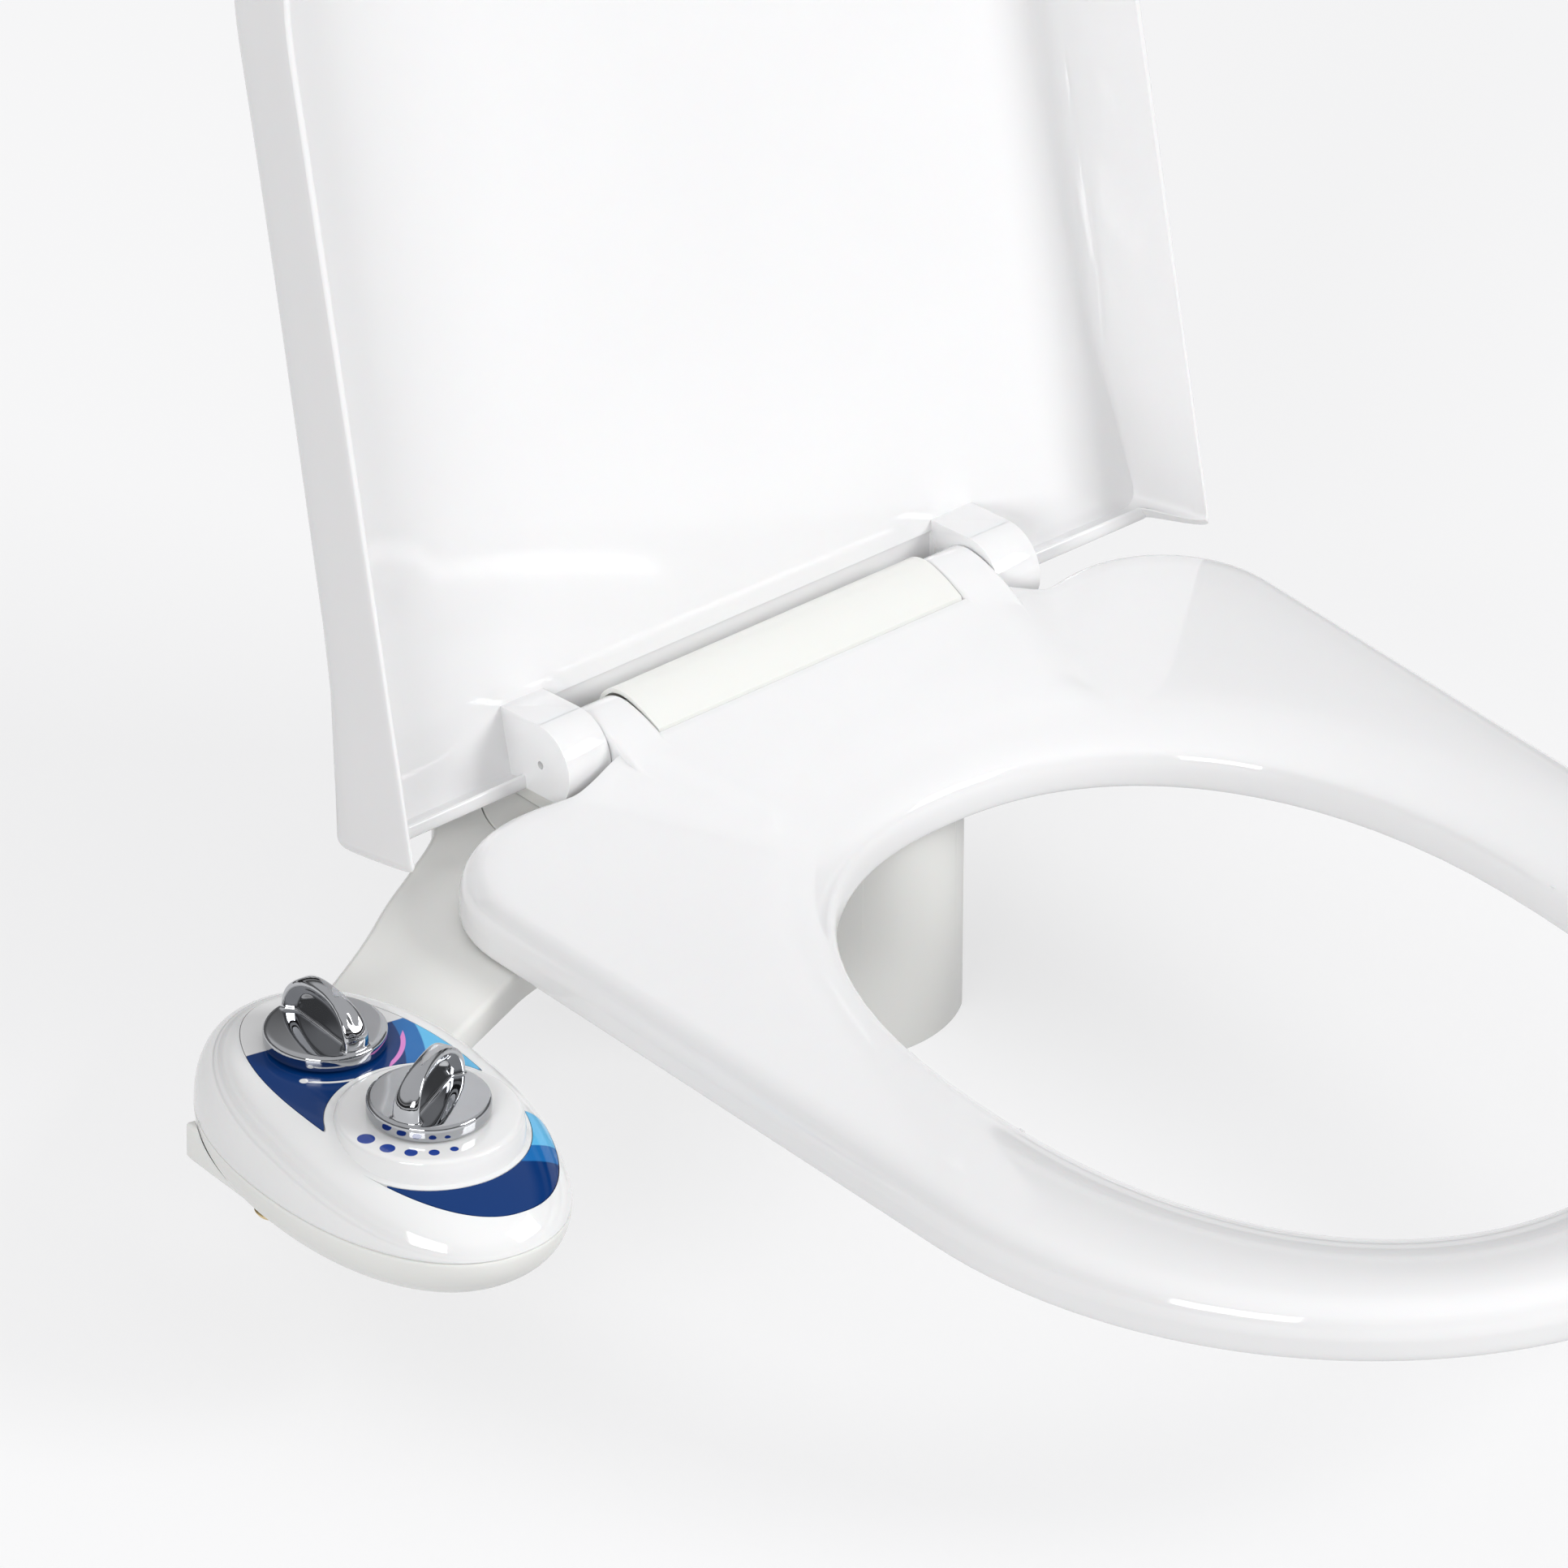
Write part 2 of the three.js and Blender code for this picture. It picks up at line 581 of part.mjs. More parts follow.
// ---------------------------------------------------------------- seat bolts
function makeBolt() {
  const head = hinge.footTop;
  const { radius, headRadius, headHeight, length } = bolt;
  return revolve([
    [0, head - length], [radius - 0.8, head - length], [radius, head - length + 1],
    [radius, head - headHeight], [headRadius, head - headHeight], [headRadius, head - 0.8],
    [headRadius - 0.8, head], [0, head],
  ], MEDIUM);
}

function makeWasher() {
  const top = -bolt.rimThickness;
  const bore = bolt.radius + 0.3;
  return revolve([
    [bore, top - 9], [13, top - 9], [14, top - 8], [14, top - 3], [10, top], [bore, top], [bore, top - 9],
  ], MEDIUM);
}

function makeWingNut() {
  const top = -bolt.rimThickness - 9 - SEAT_FIT;
  const body = solid(rod(9, top - 14, top, { tip: 11.5, count: MEDIUM }));
  const wing = new THREE.Shape();
  wing.moveTo(-19, top - 20);
  wing.quadraticCurveTo(-22, top - 8, -16, top - 4);
  wing.lineTo(16, top - 4);
  wing.quadraticCurveTo(22, top - 8, 19, top - 20);
  wing.quadraticCurveTo(12, top - 22, 8, top - 12);
  wing.lineTo(-8, top - 12);
  wing.quadraticCurveTo(-12, top - 22, -19, top - 20);
  const wings = solid(alongX(wing, -2, 2, 6).rotateZ(Math.PI / 2));
  const bore = solid(rod(bolt.radius + 0.3, top - 30, top + 1, { count: MEDIUM }));
  return cut(join(body, wings), bore);
}

for (const [name, side] of sides) {
  const x = side * BOLT_SPACING / 2;
  add(object, `seat_bolt_${name}`, makeBolt(), steel).position.x = x;
  add(object, `bolt_washer_${name}`, makeWasher(), rubber).position.x = x;
  add(object, `wing_nut_${name}`, makeWingNut(), offWhite).position.x = x;
}

// ---------------------------------------------------------------- base plate and arm
const armEnd = panel.x + arm.endInset;

function plateOutline() {
  const { lobeX, lobeRadius, webFront, webRear, tongueHalf, tongueFront } = plate;
  const front = Math.asin(webFront / lobeRadius);
  const rear = Math.asin(webRear / lobeRadius);
  const shape = new THREE.Shape();
  shape.moveTo(-tongueHalf + 6, -tongueFront);
  shape.absarc(tongueHalf - 6, -tongueFront + 6, 6, -Math.PI / 2, 0, false);
  shape.quadraticCurveTo(tongueHalf, -webFront, tongueHalf + 8, -webFront);
  shape.absarc(lobeX, 0, lobeRadius, -front, rear, false);
  shape.lineTo(-lobeX - lobeRadius * Math.cos(rear), webRear);
  shape.splineThru([
    new THREE.Vector2(arm.rootX, arm.rootY), new THREE.Vector2(arm.bendX, arm.bendY),
    new THREE.Vector2(arm.elbowX, arm.elbowY), new THREE.Vector2(arm.foreX, arm.foreY),
    new THREE.Vector2(arm.wristX, arm.wristY), new THREE.Vector2(armEnd, arm.endRear),
  ]);
  shape.lineTo(armEnd, arm.endFront);
  shape.lineTo(arm.foreX, arm.frontBendY);
  shape.quadraticCurveTo(arm.blendX, -tongueFront + 1, arm.channelX, -tongueFront + 1);
  shape.lineTo(-tongueHalf - 4, -tongueFront + 1);
  shape.absarc(-tongueHalf + 6, -tongueFront + 6, 6, Math.PI, Math.PI * 1.5, false);
  const points = shape.getPoints(4);
  const distinct = points.filter((p, i) => p.distanceTo(points[(i + 1) % points.length]) > 0.01);
  return counterClockwise(distinct);
}

const lobeRods = (radius, z0, z1) => sides.map(([, side]) => solid(
  rod(radius, z0, z1, { x: side * plate.lobeX, count: LARGE })));

function makePlateTop() {
  const outline = plateOutline();
  const { height, wall, roof, edgeRadius } = plate;
  const shell = solid(roundedPlate(outline, 0, height, edgeRadius));
  const hollow = cut(solid(prism(insetLoop(outline, wall), -1, height - roof)),
    ...lobeRods(plate.lobeRadius - 2, -2, height));
  const ledge = height - disc.flange - 0.3;
  const tubeGap = solid(block(
    armEnd - 2, armEnd + 4, tubeWay.front, tubeWay.rear, tubeWay.low, tubeWay.high));
  const nozzleWay = solid(block(-16, 16, -40, -22, -1, 2));
  return cut(shell, hollow, tubeGap, nozzleWay,
    ...lobeRods(disc.hubRadius + disc.gap, -1, height + 1),
    ...lobeRods(disc.radius + disc.gap, ledge, height + 1));
}

function makePlateBottom() {
  const outline = insetLoop(plateOutline(), plate.wall + SEAT_FIT);
  const sheet = solid(prism(outline, plate.landRelief, plate.cover));
  const { landHalf, landFront, landRear } = plate;
  const land = solid(block(-landHalf, landHalf, -landFront, landRear, 0, plate.cover));
  const nozzleWay = solid(block(-16, 16, -40, -22, -1, plate.cover + 1));
  return cut(join(sheet, land), nozzleWay, ...lobeRods(plate.lobeRadius - 2 + SEAT_FIT, -1, plate.cover + 1));
}

function makeDisc(side) {
  const top = plate.height;
  const { radius, hubRadius, flange, slotWidth, slotLength } = disc;
  const body = solid(revolve([
    [0, SEAT_FIT], [hubRadius, SEAT_FIT], [hubRadius, top - flange],
    [radius, top - flange], [radius, top - 0.6], [radius - 0.6, top], [0, top],
  ], LARGE));
  const reach = (slotLength - slotWidth) / 2;
  const x = side * (BOLT_SPACING / 2 - plate.lobeX);
  const slot = new THREE.Shape();
  slot.absarc(x, reach, slotWidth / 2, 0, Math.PI, false);
  slot.absarc(x, -reach, slotWidth / 2, Math.PI, 2 * Math.PI, false);
  const slotCut = new THREE.ExtrudeGeometry(slot, { depth: top + 2, bevelEnabled: false, curveSegments: 5 });
  const grips = [];
  for (let i = 0; i < 6; i++) {
    const a = (i / 6) * 2 * Math.PI;
    grips.push(solid(rod(2.2, top - 1.2, top + 1,
      { x: (radius - 5) * Math.cos(a), y: (radius - 5) * Math.sin(a), count: 5 })));
  }
  return cut(body, solid(slotCut.translate(0, 0, -1)), ...grips);
}

add(object, 'base_plate_top', makePlateTop(), offWhite);
add(object, 'base_plate_bottom', makePlateBottom(), offWhite);
for (const [name, side] of sides) {
  add(object, `mounting_disc_${name}`, makeDisc(side), offWhite).position.x = side * plate.lobeX;
}

// ---------------------------------------------------------------- nozzles
const mouth = new THREE.Vector3(0, nozzle.mouthY, nozzle.mouthZ);

function nozzleRod(radius, back, reach, x) {
  const geometry = rod(radius, -reach, back, { count: MEDIUM });
  return geometry.rotateX(-rad(nozzle.tilt)).translate(x, mouth.y, mouth.z);
}

function makeHousing() {
  const { halfWidth, front, rear, bottom, flange, cheekInner, cheekOuter, cheekFront } = housing;
  const top = -SEAT_FIT;
  const waist = (front + rear) / 2;
  const body = solid(roundedPlate(
    oval(halfWidth, (front - rear) / 2, 5, LARGE - 8, 0, -waist), -top, -bottom, 4).rotateX(Math.PI)
    .translate(0, -2 * waist, 0));
  const collar = solid(roundedPlate(
    oval(halfWidth + 2.5, (front - rear) / 2 + 5, 6, LARGE - 8, 0, -waist + 4), top - flange, top, 0.5, 1));
  const cheeks = sides.map(([, side]) => solid(block(
    side > 0 ? cheekInner : -cheekOuter, side > 0 ? cheekOuter : -cheekInner,
    cheekFront, -front + 8, guard.pivotZ - 6.5, top - 1)));
  const bores = [];
  for (const [, side] of sides) {
    bores.push(solid(nozzleRod(nozzle.radius + RUN_FIT, 44, 30, side * nozzle.x)));
    bores.push(solid(rod(2, -20, 5, { x: side * nozzle.x, y: -27, count: SMALL })));
  }
  const pinReach = cheekOuter + 1;
  const { pivotY, pivotZ } = guard;
  const pin = solid(rodAlongX(guard.pinRadius + 0.2, -pinReach, pinReach, pivotY, pivotZ, SMALL));
  const pinRelief = solid(rodAlongX(guard.lugRadius + 1, -cheekInner, cheekInner, pivotY, pivotZ, MEDIUM));
  return cut(join(body, collar, ...cheeks), ...bores, pin, pinRelief);
}

function makeNozzle(ports) {
  const back = nozzle.length - 16;
  const { radius } = nozzle;
  const body = solid(revolve([
    [0, -16], [radius - 2.5, -16], [radius - 1, -15], [radius - 0.4, -12.5], [radius - 0.4, 4],
    [radius, 5], [radius, back - 0.8], [radius - 0.8, back], [0, back],
  ], MEDIUM));
  const way = solid(rod(2.2, -9, back + 1, { count: SMALL }));
  const spouts = [];
  for (let i = 0; i < ports; i++) {
    const offset = (i - (ports - 1) / 2) * 3;
    spouts.push(solid(rod(0.8, 0, radius + 2, { count: 6 })
      .rotateX(rad(90)).translate(offset, 0, -10.5)));
  }
  return cut(body, way, ...spouts);
}

const guardRadius = (guard.halfWidth ** 2 + (guard.front - guard.side) ** 2)
  / (2 * (guard.front - guard.side));

function guardArc(inset) {
  const half = Math.asin(guard.halfWidth / guardRadius);
  const points = [];
  for (let i = 0; i <= 10; i++) {
    const a = -Math.PI / 2 - half + (2 * half * i) / 10;
    const r = guardRadius - inset;
    points.push(new THREE.Vector2(r * Math.cos(a), -guard.front + guardRadius + r * Math.sin(a)));
  }
  return points;
}

function makeGuard() {
  const outline = [...guardArc(0), ...guardArc(guard.wall).reverse()];
  const shell = solid(prism(counterClockwise(outline), guard.bottom, guard.top));
  const { lugRadius, lugX, lugHalf } = guard;
  const shellY = -guard.front + 5;
  const lug = new THREE.Shape();
  lug.moveTo(guard.pivotY, guard.pivotZ - lugRadius);
  lug.absarc(guard.pivotY, guard.pivotZ, lugRadius, -Math.PI / 2, Math.PI / 2, false);
  lug.lineTo(shellY, guard.pivotZ + lugRadius);
  lug.lineTo(shellY, guard.pivotZ - lugRadius);
  const lugs = sides.map(([, side]) => solid(alongX(
    lug, side * lugX - lugHalf, side * lugX + lugHalf)));
  const { halfWidth, pivotY, pivotZ } = guard;
  const bore = solid(rodAlongX(guard.pinRadius + RUN_FIT, -halfWidth, halfWidth, pivotY, pivotZ, SMALL));
  return cut(join(shell, ...lugs), bore);
}

add(object, 'nozzle_housing', makeHousing(), offWhite);
add(object, 'guard_gate', makeGuard(), offWhite);
const pinHalf = housing.cheekOuter - 0.5;
add(object, 'guard_pin', rodAlongX(
  guard.pinRadius, -pinHalf, pinHalf, guard.pivotY, guard.pivotZ, SMALL), steel);
for (const [name, side, ports] of [['rear_wash_nozzle', 1, 2], ['front_wash_nozzle', -1, 3]]) {
  const mesh = add(object, name, makeNozzle(ports), offWhite);
  mesh.position.set(side * nozzle.x, mouth.y, mouth.z);
  mesh.rotation.x = -rad(nozzle.tilt);
}

// ---------------------------------------------------------------- control panel
const panelGroup = new THREE.Group();
panelGroup.position.set(panel.x, panel.y, 0);
panelGroup.rotation.z = rad(panel.turn);
object.add(panelGroup);

// Brings a solid of the base frame into the turned frame of the panel.
function inPanel(geometry) {
  return geometry.translate(-panel.x, -panel.y, 0).rotateZ(-rad(panel.turn));
}

// Outline of the upper shell at a share of its rise: the front end recedes furthest.
function panelLoop(share, inward) {
  const angle = share * Math.PI / 2;
  const side = panel.sideInset * (1 - Math.cos(angle)) + inward;
  const rear = side;
  const front = panel.frontInset * (1 - Math.cos(angle)) ** 0.8 + inward;
  const halfLength = panel.halfLength - (rear + front) / 2;
  const loop = oval(panel.halfWidth - side, halfLength, 2.15, LARGE, 0, (front - rear) / 2);
  const z = panel.parting + (panel.top - panel.parting) * Math.sin(angle);
  return atHeight(loop, z - inward);
}

const DOME_SHARES = [0, 0.35, 0.7, 1];

function dome(inward) {
  const loops = DOME_SHARES.map((share) => panelLoop(share, inward));
  const foot = loops[0].map((p) => new THREE.Vector3(p.x, p.y, panel.parting));
  return solid(loft(inward > 0 ? [foot, ...loops.slice(1)] : loops));
}

function daisBody(inward) {
  const round = (radius, z) => {
    const size = radius - inward;
    return atHeight(oval(size, size, 2, LARGE, 0, knob.frontY), z - inward);
  };
  const { radius, top, flare } = dais;
  const lowest = panel.parting + 8;
  return solid(loft([
    round(radius + flare, lowest), round(radius + flare * 0.3, top - 5),
    round(radius, top - 1.5), round(radius - 1.5, top),
  ]));
}

const insidePanel = (inward) => solid(prism(
  panelLoop(0, inward).map((p) => new THREE.Vector2(p.x, p.y)), panel.parting, panel.top + 20));

// The dais is cut to the outline of the shell a little inside its edge.
const panelForm = (inward) => join(dome(inward), daisBody(inward).intersect(insidePanel(inward + 5)));

const knobSpots = [['mode', knob.rearY, panel.top], ['pressure', knob.frontY, dais.top]];
const label = { thick: 0.6, gap: 0.3 };

// Prints lie in shallow recesses: one round the rear knob, one a crescent at the front.
function labelPrism(which, grow) {
  const outer = panelLoop(0, (which === 'rear' ? panel.sideInset - 1.5 : 8) - grow);
  const outline = solid(prism(outer.map((p) => new THREE.Vector2(p.x, p.y)), -20, 60));
  const keepOut = dais.radius + (which === 'rear' ? 3.5 : dais.flare + 0.8) - grow;
  const round = solid(rod(keepOut, -30, 70, { y: knob.frontY, count: LARGE }));
  const half = which === 'rear' ? block(-90, 90, knob.frontY + 13 - grow, 90, -30, 70)
    : block(-90, 90, -90, knob.frontY - 8 + grow, -30, 70);
  const body = outline.intersect(solid(half));
  return cut(body, round);
}

function makeLabel(which) {
  const skin = cut(dome(0), dome(label.thick));
  const body = labelPrism(which, 0).intersect(skin);
  const hole = solid(rod(knob.radius - 8, 0, 60, { y: knob.rearY, count: MEDIUM }));
  return which === 'rear' ? cut(body, hole) : body;
}

const armGhost = (grow) => solid(inPanel(prism(
  insetLoop(plateOutline(), -grow), -grow, plate.height + grow)));

function makePanelTop() {
  const base = cut(panelForm(0), panelForm(panel.wall));
  const recess = ['rear', 'front'].map((which) => labelPrism(which, label.gap)
    .subtract(dome(label.thick + label.gap)));
  const holes = knobSpots.map(([, y]) => solid(rod(spindle.radius + RUN_FIT, 0, 60, { y, count: MEDIUM })));
  return cut(base, ...recess, ...holes, armGhost(0.4));
}

const BOWL_SHARES = [0, 0.33, 0.67, 1];

function bowlLoop(share, inward) {
  const angle = share * Math.PI / 2;
  const side = panel.halfWidth * 0.52 * (1 - Math.cos(angle)) + inward;
  const end = panel.halfLength * 0.42 * (1 - Math.cos(angle)) + inward;
  const loop = oval(panel.halfWidth - side, panel.halfLength - end, 2.15, LARGE);
  const z = panel.parting - SEAT_FIT - panel.depth * Math.sin(angle);
  return atHeight(loop, z + inward);
}

function bowl(inward) {
  const loops = BOWL_SHARES.map((share) => bowlLoop(share, inward));
  const rimTop = panel.parting - SEAT_FIT + (inward > 0 ? 1 : 0);
  const rim = loops[0].map((p) => p.clone().setZ(rimTop));
  return solid(loft([rim, ...loops.slice(1)]));
}

const inlet = { x: -15, y: 43, halfY: 16, outer: 41, bottom: -33, nippleRadius: 7, grip: 5.5, drop: 11 };

function makePanelBottom() {
  const posts = [[0, 70], [-24, -38], [24, -38]].map(([x, y]) => cut(
    solid(rod(3.4, panel.parting - 2 * panel.depth, panel.parting - SEAT_FIT, { x, y, count: SMALL })),
    solid(rod(1.2, panel.parting - 12, panel.parting + 1, { x, y, count: SMALL }))));
  const shell = cut(bowl(0), bowl(panel.wall));
  const inside = bowl(0);
  const way = solid(rod(inlet.nippleRadius - 2.5, -40, -12, { x: inlet.x, y: inlet.y, count: SMALL }));
  return cut(join(shell, ...posts.map((post) => post.intersect(inside))), way, armGhost(0.4));
}

function makeInletHousing() {
  const { x, y, halfY, outer, bottom, nippleRadius, grip } = inlet;
  const profile = new THREE.Shape();
  profile.moveTo(-x - nippleRadius - 4, panel.parting - 8);
  profile.lineTo(-x - nippleRadius - 4, bottom + 2);
  profile.lineTo(-x - nippleRadius - 2, bottom);
  profile.lineTo(-x + nippleRadius + 4, bottom);
  profile.quadraticCurveTo(outer - 4, bottom + 8, outer, bottom + 14);
  profile.lineTo(outer, panel.parting - 4);
  const body = solid(alongX(profile, y - halfY, y + halfY, 6).rotateZ(Math.PI / 2));
  const clear = solid(loft([bowlLoop(0, -SEAT_FIT).map((p) => p.clone().setZ(panel.parting + 10)),
    ...BOWL_SHARES.map((share) => bowlLoop(share, -SEAT_FIT))]));
  const bore = solid(rod(nippleRadius + 0.3, bottom - 1, bottom + grip + 0.3, { x, y }));
  const way = solid(rod(nippleRadius - 2.5, bottom + 1, 0, { x, y, count: SMALL }));
  return cut(body, clear, bore, way);
}

function makeNipple() {
  const { nippleRadius: r, bottom, drop } = inlet;
  const low = bottom - drop;
  const top = bottom + inlet.grip;
  return revolve([
    [r - 2.6, low], [r - 0.8, low], [r, low + 1], [r, bottom - 4], [r + 2.5, bottom - 4],
    [r + 2.5, bottom - 0.3], [r, bottom - 0.3], [r, top], [r - 2.6, top], [r - 2.6, low],
  ], MEDIUM).translate(inlet.x, inlet.y, 0);
}

function makeValve(y, seatTop) {
  const top = seatTop - panel.wall - SEAT_FIT;
  const body = solid(revolve([
    [0, valve.bottom], [valve.radius - 3, valve.bottom], [valve.radius - 3, -4], [valve.radius, -3],
    [valve.radius, top - 3], [valve.radius - 4, top - 2], [valve.radius - 4, top], [0, top],
  ], MEDIUM));
  const well = solid(rod(spindle.radius + RUN_FIT, spindle.bottom - 0.3, 60, { count: MEDIUM }));
  return cut(body, well).translate([0, y, 0]);
}

function makeSpindle(seatTop) {
  const top = seatTop + 3.2;
  const round = solid(rod(spindle.radius, spindle.bottom, top, { count: MEDIUM }));
  const flat = solid(block(1.8, 10, -10, 10, seatTop - 1, top + 1));
  return cut(round, flat);
}

function makeKnob(seatTop) {
  const low = seatTop + 0.5;
  const high = low + knob.thick;
  const { radius, finHeight, finHalf } = knob;
  const base = solid(revolve([
    [0, low], [radius - 1.2, low], [radius, low + 1.2],
    [radius, high - 1.2], [radius - 1.2, high], [0, high + 0.4],
  ], LARGE));
  const reach = radius - 1.4;
  const arch = new THREE.Shape();
  arch.moveTo(-reach, high - 1);
  arch.bezierCurveTo(-reach, high + finHeight * 0.75, -reach * 0.62, high + finHeight, 0, high + finHeight);
  arch.bezierCurveTo(reach * 0.62, high + finHeight, reach, high + finHeight * 0.75, reach, high - 1);
  const bevel = 1.4;
  const finShape = new THREE.ExtrudeGeometry(arch, {
    depth: 2 * (finHalf - bevel), bevelEnabled: true, bevelThickness: bevel, bevelSize: bevel,
    bevelOffset: -bevel, bevelSegments: 1, curveSegments: 6 });
  finShape.translate(0, 0, -(finHalf - bevel));
  const turn = new THREE.Matrix4().makeBasis(
    new THREE.Vector3(0, 1, 0), new THREE.Vector3(0, 0, 1), new THREE.Vector3(1, 0, 0));
  const fin = solid(finShape.applyMatrix4(turn));
  const scoops = sides.map(([, side]) => solid(new THREE.SphereGeometry(1, 14, 10)
    .scale(7, radius - 1.6, 0.8 * finHeight).translate(side * (finHalf + 4.2), 0, high + 4)));
  const above = solid(block(-30, 30, -30, 30, high + 0.2, high + 40));
  const carved = cut(fin, ...scoops.map((scoop) => scoop.intersect(above)));
  const socket = solid(rod(spindle.radius + 0.3, low - 1, seatTop + 3.5, { count: MEDIUM }));
  return cut(join(base, carved), socket);
}

add(panelGroup, 'panel_top', makePanelTop(), glossWhite);
add(panelGroup, 'panel_bottom', makePanelBottom(), offWhite);
add(panelGroup, 'label_rear', makeLabel('rear'), labelPrint);
add(panelGroup, 'label_front', makeLabel('front'), labelPrint);
add(panelGroup, 'inlet_housing', makeInletHousing(), offWhite);
add(panelGroup, 'inlet_nipple', makeNipple(), brass);
const knobTurn = { mode: 0, pressure: -61 };
for (const [name, y, seatTop] of knobSpots) {
  add(panelGroup, `${name}_valve`, makeValve(y, seatTop), offWhite);
  for (const [piece, body, finish] of [
    ['knob', makeKnob(seatTop), chrome], ['spindle', makeSpindle(seatTop), brass]]) {
    const mesh = add(panelGroup, `${name}_${piece}`, body, finish);
    mesh.position.y = y;
    mesh.rotation.z = rad(knobTurn[name]);
  }
}

export default object;
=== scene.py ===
# Looks of a toilet seat with a raised lid and a bidet attachment under its hinge.
# Lengths are in millimetres until a mesh is made, and in metres from there on.
from math import asin, atan2, copysign, cos, degrees, dist, exp, hypot, pi, radians, sin, sqrt
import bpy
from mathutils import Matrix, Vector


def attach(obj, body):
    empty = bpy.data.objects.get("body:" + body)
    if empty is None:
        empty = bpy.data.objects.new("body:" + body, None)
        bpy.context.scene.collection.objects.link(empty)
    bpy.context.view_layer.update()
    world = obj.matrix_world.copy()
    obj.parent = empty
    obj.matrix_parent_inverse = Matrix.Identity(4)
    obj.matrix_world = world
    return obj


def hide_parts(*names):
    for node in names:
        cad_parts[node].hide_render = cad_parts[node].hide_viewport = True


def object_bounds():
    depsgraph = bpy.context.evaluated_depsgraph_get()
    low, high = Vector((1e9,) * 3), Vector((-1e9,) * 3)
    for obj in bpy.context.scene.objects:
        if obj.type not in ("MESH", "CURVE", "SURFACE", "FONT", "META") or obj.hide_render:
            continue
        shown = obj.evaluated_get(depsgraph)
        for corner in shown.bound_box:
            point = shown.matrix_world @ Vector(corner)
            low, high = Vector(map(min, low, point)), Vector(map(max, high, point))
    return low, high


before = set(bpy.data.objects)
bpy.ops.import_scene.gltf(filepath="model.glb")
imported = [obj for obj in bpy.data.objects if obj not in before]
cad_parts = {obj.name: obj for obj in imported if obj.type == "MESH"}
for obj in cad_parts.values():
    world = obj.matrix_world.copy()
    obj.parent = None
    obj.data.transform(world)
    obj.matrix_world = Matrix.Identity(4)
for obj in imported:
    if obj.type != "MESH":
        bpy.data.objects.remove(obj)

from types import SimpleNamespace as Sizes

import bmesh
import bpy
from mathutils import Matrix, Vector

cad_low, cad_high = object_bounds()
MM = 0.001


def add_object(name, data):
    thing = bpy.data.objects.new(name, data)
    bpy.context.scene.collection.objects.link(thing)
    return thing


# ---- camera
CAMERA_PLACE = (-3.79195, -4.37378, 3.47253)
CAMERA_YAW, CAMERA_PITCH, CAMERA_ROLL = 0.714669, 0.541887, 0.005588
LENS_OVER_FRAME = 23538.7 / 1932      # focal length as a share of the frame's width
SENSOR = 36.0


def make_camera():
    data = bpy.data.cameras.new("camera")
    data.sensor_width = SENSOR
    data.lens = SENSOR * LENS_OVER_FRAME
    data.clip_end = 50
    camera = add_object("camera", data)
    forward = Vector((
        sin(CAMERA_YAW) * cos(CAMERA_PITCH),
        cos(CAMERA_YAW) * cos(CAMERA_PITCH),
        -sin(CAMERA_PITCH)))
    right = Vector((cos(CAMERA_YAW), -sin(CAMERA_YAW), 0))
    turn = Matrix((right, right.cross(forward), -forward)).transposed().to_4x4()
    camera.matrix_world = (
        Matrix.Translation(CAMERA_PLACE) @ turn @ Matrix.Rotation(CAMERA_ROLL, 4, "Z"))
    bpy.context.scene.camera = camera


make_camera()

# ---- sizes, mostly the CAD model's own
SEAT_FIT = 0.3        # between pieces that rest on each other
RUN_FIT = 0.3         # round a shaft that turns or slides
BOLT_SPACING = 140
HINGE_HEIGHT = 38
SPINDLE_HOLE = 3.7
SIDES = (("left", 1), ("right", -1))
BOLT_PLACES = [(side, sign * BOLT_SPACING / 2) for side, sign in SIDES]

seat = Sizes(half_width=180, rear=10, front=476, corner=47, nose=186, crown=-2.5, underside=-24,
             edge=12, wall=3.2, dish=32, dish_drop=6, tilt=1.3,
             notch_half=104, notch_front=19.6, rear_rise=10.2, rear_edge=0.8, rear_hang=1.45,
             boss=9, rib=1.2)
opening = Sizes(half_width=121, rear=92, front=420, fullness=2.25)
lid = Sizes(overhang=6, rear=-12, corner=6, rim=-20, top=23.5, wall=4.2, shoulder=25, shoulder_drop=9,
            dome=1.3, draft=4, rear_lip=9.8, rear_step=15.5, open_angle=102,
            recess_front=14.6, recess_rear=6.5, recess_depth=2.2, eye=1.5)
hinge = Sizes(pin=5, cover_half=70.4, seat_knuckle=89.7, lid_knuckle=109.5, side_gap=0.6,
              seat_radius=13, lid_radius=15.6, body_radius=9.6, cover_wall=1.7, foot_top=17,
              foot_half=100, foot_front=15, foot_rear=34)
COVER_LINE = ((15.2, -4), (14.4, 5.4), (9.4, 11.9), (1.6, 14), (-8, 12), (-17.6, 7.8))
COVER_FLANGE = ((-18.4, 5), (-18.8, 2.2))
bolt = Sizes(radius=4, way=4.3, length=82, thread_end=36, pitch=1.25, groove=0.62, head=9, head_height=3.4)
washer = Sizes(top=-22, height=9, radius=14)
plate = Sizes(height=11.5, edge=2.4, lobe_x=74, lobe=53, web_front=46, web_rear=46,
              tongue_half=30, tongue_front=64)
disc = Sizes(radius=48, hub=40, flange=4, gap=0.6, slot_width=9.4, slot_length=34)
panel = Sizes(x=-271.5, y=-108, turn=-4, half_length=83, half_width=50, parting=-2, top=24,
              side_inset=18, front_inset=52, depth=24, wall=2.4)
knob = Sizes(radius=21.6, thick=6, rear_y=33, front_y=-27.5, fin=16.5)
dais = Sizes(radius=32.5, top=26.4, flare=2)
